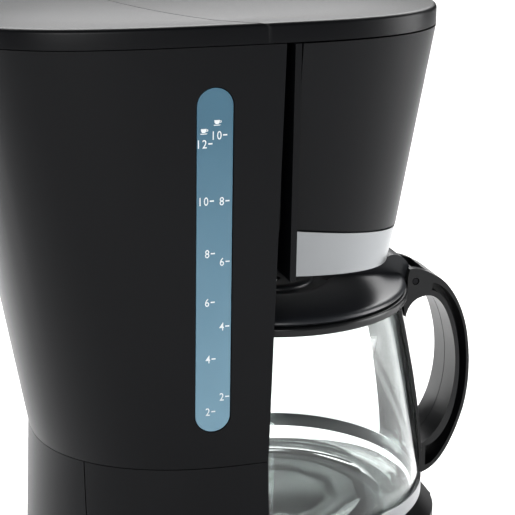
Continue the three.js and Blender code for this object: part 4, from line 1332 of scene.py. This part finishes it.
@dataclass
class FilterHousing:
    """Swing-out housing with its steel trim and basket; sizes in millimetres."""

    back_x: float = -12.0
    rear_radius: float = 69.0
    frame_x: float = -15.4
    frame_thickness: float = 2.8
    frame_foot: float = 173.5
    swing: Point2 = (-7.0, 71.93)
    edge: tuple[float, float, float, float] = (66.9, 53.0, 192.6, 0.152)
    band: tuple[float, float, float, float] = (60.9, 49.2, 170.0, 0.0765)
    trim: float = 0.8
    floor: float = 2.2
    basket: tuple[float, float] = (57.0, 26.0)
    spring: tuple[float, float] = (175.55, 178.8)
    ribs: int = 24

    def _levels(self, inset: float, low: float = 0.0, high: float = 0.0) -> list[Level]:
        """Band, edge and top sections, drawn in and moved by offsets.

        Args:
            inset: Millimetres drawn in from the skin.
            low: Millimetres added to the lowest height.
            high: Millimetres added to the top.

        Returns:
            Three sections, from the lowest up.
        """
        levels = []
        for half, front, z, slope in (self.band, self.edge):
            levels.append(
                Level(z, half - inset, 60, front - PLAN.plan_x - inset, 4, PLAN.front_power, slope)
            )
        top = PLAN.column_top - GAP + high
        levels.append(
            Level(top, PLAN.top[0] - inset, 60, PLAN.top[2] - inset, 4, PLAN.front_power)
        )
        levels[0] = levels[0].at(self.band[2] + low)
        return levels

    def _body(self, inset: float, low: float, high: float) -> list[Solid]:
        """Front skin and round rear of the housing, drawn in by an inset.

        Args:
            inset: Millimetres drawn in from the skin.
            low: Millimetres added to the lowest height.
            high: Millimetres added to the top.

        Returns:
            The two solids.
        """
        front = PLAN.loft(self._levels(inset, low, high)).common(ahead(self.back_x + inset))
        foot, top = self.band[2] + low, PLAN.column_top - GAP + high
        radius = self.rear_radius - inset
        bowl = Solid.turned(
            [
                (0, foot), (radius - 16, foot), (radius - 6, self.edge[2] + 2),
                (radius, top), (0, top),
            ]
        )
        return [front, bowl.common(behind(self.back_x + inset + 3))]

    def _zone(self, low: float, high: float) -> Solid:
        """Space between the trim's lower edge and the black skin's edge.

        Args:
            low: Millimetres added below.
            high: Millimetres added above.

        Returns:
            The space as a solid.
        """
        band, edge, top = self._levels(-4)
        wide = Level(
            self.edge[2] + high, top.half, 60, top.front, 4, PLAN.front_power, self.edge[3]
        )
        return PLAN.loft([band.at(self.band[2] + low), wide])

    def housing(self) -> Solid:
        """Black moulding with its frame, hinge barrel and trim recess.

        Returns:
            The housing.
        """
        front, bowl = self._body(0, 0, 0)
        hollow = self._body(PLAN.wall, self.floor, 5)
        top = PLAN.column_top - GAP
        column = PLAN.shaft(0.4)
        x, y = self.swing
        flange = Solid.box(
            (self.frame_x, self.frame_x + self.frame_thickness),
            (-WIDE, y + 7),
            (self.frame_foot, top),
        ).common(column)
        barrel = (
            Solid.cylinder(PIN_BARREL, self.frame_foot, top, at=self.swing, sides=64)
            .plus(Solid.box((self.frame_x, x), (y - 3, y + 3), (self.frame_foot, top)))
            .common(column)
        )
        core = self._levels(self.trim + GAP, -4)
        recess = self._zone(-2, 0).common(ahead(self.back_x)).minus(PLAN.loft(core))
        body = front.plus(bowl)
        level = self.band[2] + self.floor
        seat = body.common(Solid.cylinder(18, 0, level, sides=64))
        return (
            body.plus(flange)
            .minus(hollow[0].plus(hollow[1]))
            .minus(Solid.cylinder(18, level, level + 3, sides=64))
            .plus(seat)
            .minus(recess)
            .plus(barrel)
            .minus(Solid.cylinder(3.8, 100, 200, sides=48))
            .minus(Solid.cylinder(PIN_HOLE, 100, 400, at=self.swing, sides=32))
        )

    def trim_strip(self) -> Solid:
        """Steel strip round the housing's foot.

        Returns:
            The strip.
        """
        return (
            PLAN.loft(self._levels(0.1, -4))
            .minus(PLAN.loft(self._levels(self.trim, -8, 4)))
            .common(self._zone(0.1, -1))
            .common(ahead(self.back_x + 0.4))
        )

    def basket_cone(self) -> Solid:
        """Filter basket, an open cone with a rim and two finger tabs.

        Returns:
            The basket.
        """
        low = self.band[2] + self.floor + 9
        high = PLAN.column_top - GAP - 3
        r, f = self.basket
        cone = Solid.turned(
            [(5, low), (f, low), (r, high - 2), (r + 2.4, high - 2), (r + 2.4, high), (r - 2, high),
             (f - 2, low + 2), (5, low + 2)]
        )
        for side in (-1, 1):
            span = sorted((side * (r - 0.5), side * (r + 8.5)))
            tab = Solid.box((-9, 9), (span[0], span[1]), (high - 2, high))
            cone = cone.plus(tab.common(Solid.cylinder(r + 7, 0, 400)))
        return cone

    def _ribs(self) -> RepeatTree:
        """Geometry tree that sets one rib round the basket many times.

        Returns:
            The tree, with named inputs for count and material.
        """
        ribs = RepeatTree("basket_ribs", "Rib", {"Count": self.ribs}, "Ribs")
        count = ribs.given.outputs["Count"]
        centre = add(ribs.tree, "GeometryNodePoints", links={"Count": count})
        number = add(ribs.tree, "GeometryNodeInputIndex")
        share = add(
            ribs.tree,
            "ShaderNodeMath",
            {"operation": "DIVIDE"},
            {0: number.outputs[0], 1: count},
        )
        turn = add(
            ribs.tree,
            "ShaderNodeMath",
            {"operation": "MULTIPLY", 1: 2 * math.pi},
            {0: share.outputs[0]},
        )
        spin = add(ribs.tree, "ShaderNodeCombineXYZ", links={2: turn.outputs[0]})
        ribs.place(
            {
                "Points": centre.outputs[0],
                "Instance": ribs.given.outputs["Rib"],
                "Rotation": spin.outputs[0],
            }
        )
        return ribs

    def basket_ribs(self) -> bpy.types.Mesh:
        """Ribs up the inside of the basket.

        Returns:
            All ribs as one mesh.
        """
        low = self.band[2] + self.floor + 11.4
        high = PLAN.column_top - GAP - 16
        rim, foot = self.basket
        share = (high - low) / (PLAN.column_top - GAP - 5 - (low - 0.4))
        inner = mix(foot - 2, rim - 2, share)
        outline = [
            (foot - 2.4, low), (foot + 0.6 - 2.4, low), (inner + 0.4, high), (inner - 1.0, high)
        ]
        rib = Solid.slab(outline, -0.5, 0.5)
        return self._ribs().run(rib.mesh, GLOSS_BLACK)

    def valve_coil(self) -> Solid:
        """Conical spring over the valve, with both ends closed flat.

        Returns:
            The spring.
        """
        low, high = self.spring
        wire, steps = 0.3, 96
        path = []
        for i in range(steps + 1):
            share = i / steps
            turn = 2 * math.pi * 2.6 * share
            rise = min(1.0, max(0.0, (share - 0.15) / 0.7))
            radius = mix(4.6, 3.4, share)
            height = mix(low + wire, high - wire, rise)
            path.append((radius * math.cos(turn), radius * math.sin(turn), height))
        return Solid.tube(path, wire)

    def build(self) -> None:
        """Builds and dresses the housing."""
        skin = Dress("filter_unit", SATIN_BLACK, "moulded_black", ("filter_housing",), 0.45)
        piece("housing_shell", self.housing(), skin)
        trim = Dress("filter_unit", STEEL, "steel", ("trim_band",), 0.2)
        piece("housing_trim", self.trim_strip(), trim)
        cone = Dress("filter_unit", GLOSS_BLACK, "gloss_black", ("filter_basket",), 0.3, 40)
        piece("basket_cone", self.basket_cone(), cone)
        plastic = Dress("filter_unit", GLOSS_BLACK, "gloss_black", (), 0, 40)
        piece("basket_ribs", Solid(self.basket_ribs()), plastic)
        wire = Dress("filter_unit", PIN_STEEL, "steel", ("valve_spring",), 0.0, 60)
        coil = piece("valve_coil", self.valve_coil(), wire)
        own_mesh(coil)
        dress_nodes(PIN_STEEL, ["housing_pin", "tank_lid_pin"])
        dress_nodes(SILICONE, ["valve_plunger", "valve_seal"])
        dress_nodes(GLOSS_BLACK, ["valve_bridge"])


# ---- Jug -------------------------------------------------------------------------------------


@dataclass
class GlassJug:
    """Glass jug with collar, band, handle and hinged lid; sizes in millimetres."""

    foot: float = 36.35
    glass: float = 2.2
    collar_foot: float = 143.0
    collar_top: float = 147.4
    pin: Point2 = (68.4, 147.4)
    half: float = 14.0
    strap_half: float = 26.0
    band: Point2 = (43.4, 50.8)
    boss: Point2 = (19.0, 152.4)
    ring_top: float = 152.6
    side: tuple[Point2, ...] = (
        (61.0, 0.0), (65.4, 0.9), (68.6, 4.0), (70.4, 6.7), (71.6, 9.5), (72.2, 13.5), (72.4, 18.0),
        (72.1, 25.5), (71.4, 33.0), (70.4, 43.0), (69.0, 53.0), (67.0, 66.0), (64.6, 79.0),
        (62.7, 89.0), (61.0, 97.0), (60.2, 101.0), (60.0, 104.0), (60.0, 109.4),
    )

    def _radius_at(self, z: float, margin: float = 0.0) -> float:
        """Outer radius of the glass at a height, plus a margin.

        Args:
            z: Height.
            margin: Millimetres added.

        Returns:
            The radius.
        """
        height = z - self.foot
        for (r0, z0), (r1, z1) in zip(self.side, self.side[1:]):
            if z1 >= height:
                return mix(r0, r1, (height - z0) / (z1 - z0)) + margin
        return self.side[-1][0] + margin

    def vessel(self) -> Solid:
        """Glass vessel with an even wall and a thick, slightly domed bottom.

        Returns:
            The vessel.
        """
        outside = [(r, self.foot + z) for r, z in self.side]
        inside = [
            (r - self.glass, self.foot + z) for r, z in reversed(self.side) if z > 2 * self.glass
        ]
        floor = self.foot + 2 * self.glass
        heel = bezier([inside[-1], (66.4, floor), (60, floor - 1.4), (50, floor - 1.0)], 10)
        under = bezier(
            [(40, self.foot + 1.5), (50, self.foot + 1.3), (52, self.foot), (56, self.foot)], 10
        )
        return Solid.turned(
            [(0, self.foot + 1.5), (40, self.foot + 1.5), *under, *outside, *inside, *heel,
             (0, floor)]
        )

    def collar(self) -> Solid:
        """Plastic collar round the neck, notched for the handle.

        Returns:
            The collar.
        """
        neck, rim = 60.35, 65.0
        low, top = self.collar_foot, self.collar_top
        outer = [(rim - 1.6, low), *bezier([(rim - 1.6, low), (rim, low), (rim, low + 1.6)], 6)]
        outer += [(rim, top - 1.4), *bezier([(rim, top - 1.4), (rim, top), (rim - 1.4, top)], 6)]
        ring = Solid.turned(
            [(neck, low), *outer, (neck - 3, top), (neck - 3, top - 1.2), (neck, top - 1.2)]
        )
        h = self.half + GAP
        return ring.minus(Solid.box((rim - 1.6, rim + 20), (-h, h), (100, 160)))

    def _beside(self, z: float, margin: float) -> Point2:
        """Point beside the glass at a height."""
        return self._radius_at(z, margin), z

    def _handle_outline(self) -> list[Point2]:
        """Side view of the whole handle.

        Returns:
            Points of X and Z.
        """
        points = [(64.2, 149.2), (65.2, 153.8)]
        points += bezier([points[-1], (70, 155), (78.5, 149.6)], 8)
        points += bezier([points[-1], (86.5, 146), (94, 133), (96.6, 118.6)])
        points += bezier([points[-1], (99.2, 104), (98.9, 88), (95.1, 75.7)])
        points += bezier([points[-1], (91.5, 64), (86, 52), (79.5, 47.8)])
        points += bezier([points[-1], (77, 45.8), (self._radius_at(46, 1.9), 45)], 6)
        points += [self._beside(z, 1) for z in (62, 70, 80, 92, 104, 114, 122)]
        points += [(self._radius_at(138, 1.4), 141.8), (64.2, 142.4)]
        return points

    def _finger_outline(self) -> list[Point2]:
        """Side view of the finger space, open towards the glass.

        Returns:
            Points of X and Z.
        """
        points = [(self._radius_at(59, -4), 59.4), (73.0, 60.6)]
        points += bezier([points[-1], (79.8, 63.4), (86, 72), (88.8, 84)])
        points += bezier([points[-1], (91.6, 95), (91.4, 108), (89, 118)])
        points += bezier([points[-1], (86.6, 129), (82, 139.6), (74.8, 139.6)])
        points += bezier([points[-1], (69, 139.6), (64.8, 136), (63.6, 129.6)])
        points.append((self._radius_at(129, -4), 129.6))
        return points

    @staticmethod
    def _channel_outline() -> list[Point2]:
        """Side view of the channel in each flank of the grip.

        Returns:
            Points of X and Z.
        """
        points = [(77.8, 146.0)]
        points += bezier([points[-1], (86.4, 143.2), (92.8, 131.4), (95.2, 119)])
        points += bezier([points[-1], (97.6, 104.5), (97.4, 89.5), (93.9, 77)])
        points += bezier([points[-1], (90.6, 65.5), (85.2, 54.6), (79, 49.8)])
        points += [(76.2, 49), (76.2, 59.4)]
        points += bezier([points[-1], (84.2, 60.6), (89.8, 72.6), (91.5, 83)])
        points += bezier([points[-1], (93.7, 94), (93.6, 107), (91.1, 118.6)])
        points += bezier([points[-1], (89.1, 128.4), (84.7, 140.4), (77, 142.2)])
        return points

    def _seam(self) -> Solid:
        """Fine groove that the mould's parting line leaves round the finger face.

        Returns:
            The groove as a solid to cut away.
        """
        outline = self._finger_outline()[1:-1]
        centre = (80.0, 100.0)
        deeper = []
        for x, z in outline:
            away = math.hypot(x - centre[0], z - centre[1])
            share = 1 + 0.3 / away
            deeper.append((mix(centre[0], x, share), mix(centre[1], z, share)))
        return Solid.slab(deeper, -0.25, 0.25)

    def _strap(self) -> Solid:
        """Thin strap down the glass that ties the handle's head to its foot.

        Returns:
            The strap.
        """
        inner, outer = (
            [(r + margin, self.foot + z) for r, z in self.side] for margin in (0.7, 2.0)
        )
        shell = Solid.turned([*outer, *reversed(inner)])
        reach = (self.band[1] + GAP + 0.3, self.collar_foot - 0.8)
        return shell.common(Solid.box((0, 90), (-self.strap_half, self.strap_half), reach))

    def handle(self) -> Solid:
        """Handle with a channelled grip, a forked head and a foot held by the band.

        Returns:
            The handle.
        """
        h, web = self.half, 3.4
        band = self._radius_at(self.band[1], 0.9)
        low, top = self.band[0] - GAP, self.band[1] + GAP
        near, far = band - GAP, band + 0.8 + GAP
        ring = [(near, low), (far, low), (far, top), (near, top)]
        clear = [(0, 0), *[(r + 0.7, self.foot + z) for r, z in self.side], (0, 150)]
        seat = Solid.cylinder(65 + GAP, self.collar_foot - GAP, 170).common(
            Solid.box((0, 90), (-h - 1, h + 1), (self.collar_foot - GAP, self.collar_top + 0.6))
        )
        return Solid.slab(self._handle_outline(), -h, h).minus(
            Solid.slab(self._finger_outline(), -h - 1, h + 1),
            Solid.slab(self._channel_outline(), -h - 1, -web),
            Solid.slab(self._channel_outline(), web, h + 1),
            Solid.box((50, self.pin[0] + 6.6), (-h + 3.4, h - 3.4), (self.collar_foot + 0.5, 170)),
            seat,
            Solid.turned(ring),
            Solid.turned(clear),
            self._seam(),
            Solid.cylinder(1.6, 63.4, far + 5.4, "x", (0, self.band[1] - 2.2), 32),
            Solid.cylinder(1.8, -h - 1, h + 1, "y", self.pin, 48),
        ).plus(self._strap())

    def lid(self) -> Solid:
        """Lid with a domed ring, a sunk well, a boss with a drip hole and a thumb lever.

        Returns:
            The lid.
        """
        foot = self.collar_top + GAP
        rim, top = 63.8, self.ring_top
        boss, crest = self.boss
        shoulder = bezier([(rim, foot + 1), (rim, foot + 3.2), (rim - 4, foot + 3.6)], 6)
        dome = bezier(
            [(rim - 4, foot + 3.6), (rim - 10, top - 0.3), (rim - 18, top + 0.35),
             (rim - 26, top + 0.1),
             (boss + 15, top), (boss + 9, foot + 5), (boss + 7, foot + 3)], 22
        )
        crown = bezier([(boss, foot + 3), (boss - 0.2, crest), (boss - 4, crest)], 8)
        ring = Solid.turned(
            [(3.4, foot + 1.2), (rim - 8, foot + 1.2), (rim - 8, foot), (rim - 1, foot),
             (rim, foot + 1), *shoulder, *dome, (boss + 3, foot + 2.6), (boss, foot + 2.6), *crown,
             (6, crest - 1.6), (3.4, crest - 1.6)]
        )
        pin_x, pin_z = self.pin
        lever = [(boss + 2, foot + 1.6), (boss + 1.6, 149.6)]
        for steps, bends in (
            (14, [(pin_x - 42, 152), (pin_x - 32, 156.2), (pin_x - 18.4, 156.2)]),
            (8, [(pin_x - 15.5, 156.3), (pin_x - 14.5, 160.6), (pin_x - 10.4, 160.6)]),
            (8, [(pin_x - 6, 160.6), (pin_x - 2.2, 156.4), (pin_x - 2, 153.4)]),
        ):
            lever += bezier([lever[-1], *bends], steps)
        lever += [(pin_x - 6.4, 151), (pin_x - 8.4, foot + 1.6)]
        tongue = [(56, foot + 0.4), (58, foot + 5.4), (pin_x + 1, foot + 4.4),
                  (pin_x + 4, pin_z + 1), (pin_x + 2.6, pin_z - 2.6), (66.6, pin_z - 2.4),
                  (66, foot + 0.4)]
        return ring.plus(Solid.slab(lever, -9.6, 9.6), Solid.slab(tongue, -9.6, 9.6)).minus(
            Solid.cylinder(1.8, -20, 20, "y", self.pin, 48)
        )

    def build(self) -> None:
        """Builds and dresses the jug."""
        glass = Dress("jug", GLASS, "jug_glass", ("jug_glass",), 0.0, 50)
        piece("jug_vessel", self.vessel(), glass)
        plastic = ("jug", HANDLE_BLACK, "moulded_black")
        piece("jug_neck_collar", self.collar(), Dress(*plastic, ("jug_collar",), 0.2, 40))
        piece("jug_grip", self.handle(), Dress(*plastic, ("jug_handle",), 0.55, 34))
        # The lid's paler colour is a painted sheen of the light from above.
        lid = Dress("jug_lid", LID_PAINTED_SHEEN_BLACK, "moulded_black", ("carafe_lid",), 0.35, 34)
        piece("jug_lid_dome", self.lid(), lid)
        band = self._radius_at(self.band[1], 0.9)
        low, top = self.band
        profile = [(band, low), (band + 0.8, low), (band + 0.8, top), (band, top)]
        steel = Dress("jug", STEEL, "steel", ("jug_band",), 0.2, 40)
        piece("jug_hoop", Solid.turned(profile), steel)
        dress_nodes(DARK_STEEL, ["band_screw", "jug_pin"])


# ---- Inside ----------------------------------------------------------------------------------


@dataclass(frozen=True)
class InnerWorks:
    """Finishes of the heater, hoses, leads and screws that the frame already holds."""

    steel: tuple[str, ...] = ("heater_clamp", "clamp_screw", "thermostat")
    silicone: tuple[str, ...] = ("plate_seal", "cold_hose", "riser_tube", "outlet_grommet")
    milky: tuple[str, ...] = ("thermal_fuse", "check_valve", "spray_head")
    leads: tuple[str, ...] = ("lead_live", "lead_neutral")

    def build(self) -> None:
        """Dresses each node."""
        screws = [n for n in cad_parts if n.startswith("base_screw")]
        dress_nodes(PIN_STEEL, [*self.steel, *screws])
        dress_nodes(SILICONE, self.silicone)
        dress_nodes(MILKY, self.milky)
        dress_nodes(LEAD_RED, self.leads)
        dress_nodes(ALUMINIUM, ["heater_tube"])


# ---- Studio ----------------------------------------------------------------------------------


@dataclass
class Studio:
    """Pale floor, soft light and the camera; sizes in metres."""

    camera_at: Point3 = (-0.183, -0.7124, 0.3856)
    direction: Point3 = (0.2648, 0.9201, -0.2889)
    lens: float = 112.37
    floor_colour: str = "#f2f2f2"
    surroundings: float = 0.1

    def _light(self, name: str, place: Point3, size: Point2, power: float, aim: Point3) -> None:
        """Adds a soft light.

        Args:
            name: Its name.
            place: Where it stands.
            size: Width and height.
            power: Power in watts.
            aim: The point that it faces.
        """
        data = bpy.data.lights.new(name, "AREA")
        data.shape = "RECTANGLE"
        data.size, data.size_y = size
        data.energy = power
        lamp = bpy.data.objects.new(name, data)
        bpy.context.scene.collection.objects.link(lamp)
        lamp.location = place
        way = Vector(aim) - Vector(place)
        lamp.rotation_euler = way.to_track_quat("-Z", "Y").to_euler()

    def _world(self) -> None:
        """Dim, even surroundings."""
        world = bpy.data.worlds.new("surroundings")
        world.use_nodes = True
        background = world.node_tree.nodes["Background"]
        background.inputs["Color"].default_value = (1.0, 1.0, 1.0, 1.0)
        background.inputs["Strength"].default_value = self.surroundings
        bpy.context.scene.world = world

    def _floor(self) -> None:
        """Large pale floor."""
        bm = bmesh.new()
        for x, y in ((-6, -6), (6, -6), (6, 6), (-6, 6)):
            bm.verts.new((x, y, 0))
        bm.faces.new(bm.verts)
        mesh = bpy.data.meshes.new("floor")
        bm.to_mesh(mesh)
        bm.free()
        floor = bpy.data.objects.new("floor", mesh)
        bpy.context.scene.collection.objects.link(floor)
        mesh.materials.append(Finish("pale_floor", self.floor_colour, 0.7, 4.0, 0.02, 0.01).build())
        floor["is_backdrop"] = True

    def build(self) -> None:
        """Sets up floor, lights, surroundings and camera."""
        self._floor()
        self._world()
        self._light("far", (0.5, 2.2, 2.4), (3.4, 2.4), 95, (0.4, 1.7, 0.0))
        self._light("above", (0.0, 1.0, 1.05), (2.4, 0.9), 30, (0.0, 0.5, 0.0))
        self._light("left", (-1.1, 0.75, 0.25), (1.1, 0.7), 24, (-0.1, 0.0, 0.15))
        self._light("right", (1.2, -0.3, 0.4), (0.7, 0.8), 14, (0.0, 0.0, 0.15))
        self._light("front", (-0.7, -1.7, 0.75), (0.9, 0.6), 18, (0.0, 0.0, 0.18))
        data = bpy.data.cameras.new("camera")
        data.lens = self.lens
        data.sensor_width = 36
        camera = bpy.data.objects.new("camera", data)
        bpy.context.scene.collection.objects.link(camera)
        camera.location = self.camera_at
        camera.rotation_euler = Vector(self.direction).to_track_quat("-Z", "Y").to_euler()
        bpy.context.scene.camera = camera
        bpy.context.scene.view_settings.view_transform = "Standard"
        bpy.context.scene.view_settings.gamma = 0.88


def write_sizes() -> None:
    """Works out the frame's box and the finished model's box, in metres, as plain lists; they are
    not kept.
    """

    def plain(box: Any) -> Any:
        """The box as plain lists of numbers."""
        return [plain(v) for v in box] if hasattr(box, "__len__") else float(box)

    {"cad": plain(cad_box), "visual": plain(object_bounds())}


def main() -> None:
    """Builds every sub-assembly in order."""
    logging.basicConfig(level=logging.INFO, format="%(name)s %(message)s")
    builders: list[tuple[str, Callable[[], None]]] = [
        ("studio", Studio().build),
        ("column", WaterColumn().build),
        ("gauge", GAUGE.build),
        ("base", BaseUnit().build),
        ("housing", FilterHousing().build),
        ("jug", GlassJug().build),
        ("inner works", InnerWorks().build),
    ]
    for name, build in builders:
        log.info("building the %s", name)
        build()


if __name__ == "__main__":
    main()
    write_sizes()
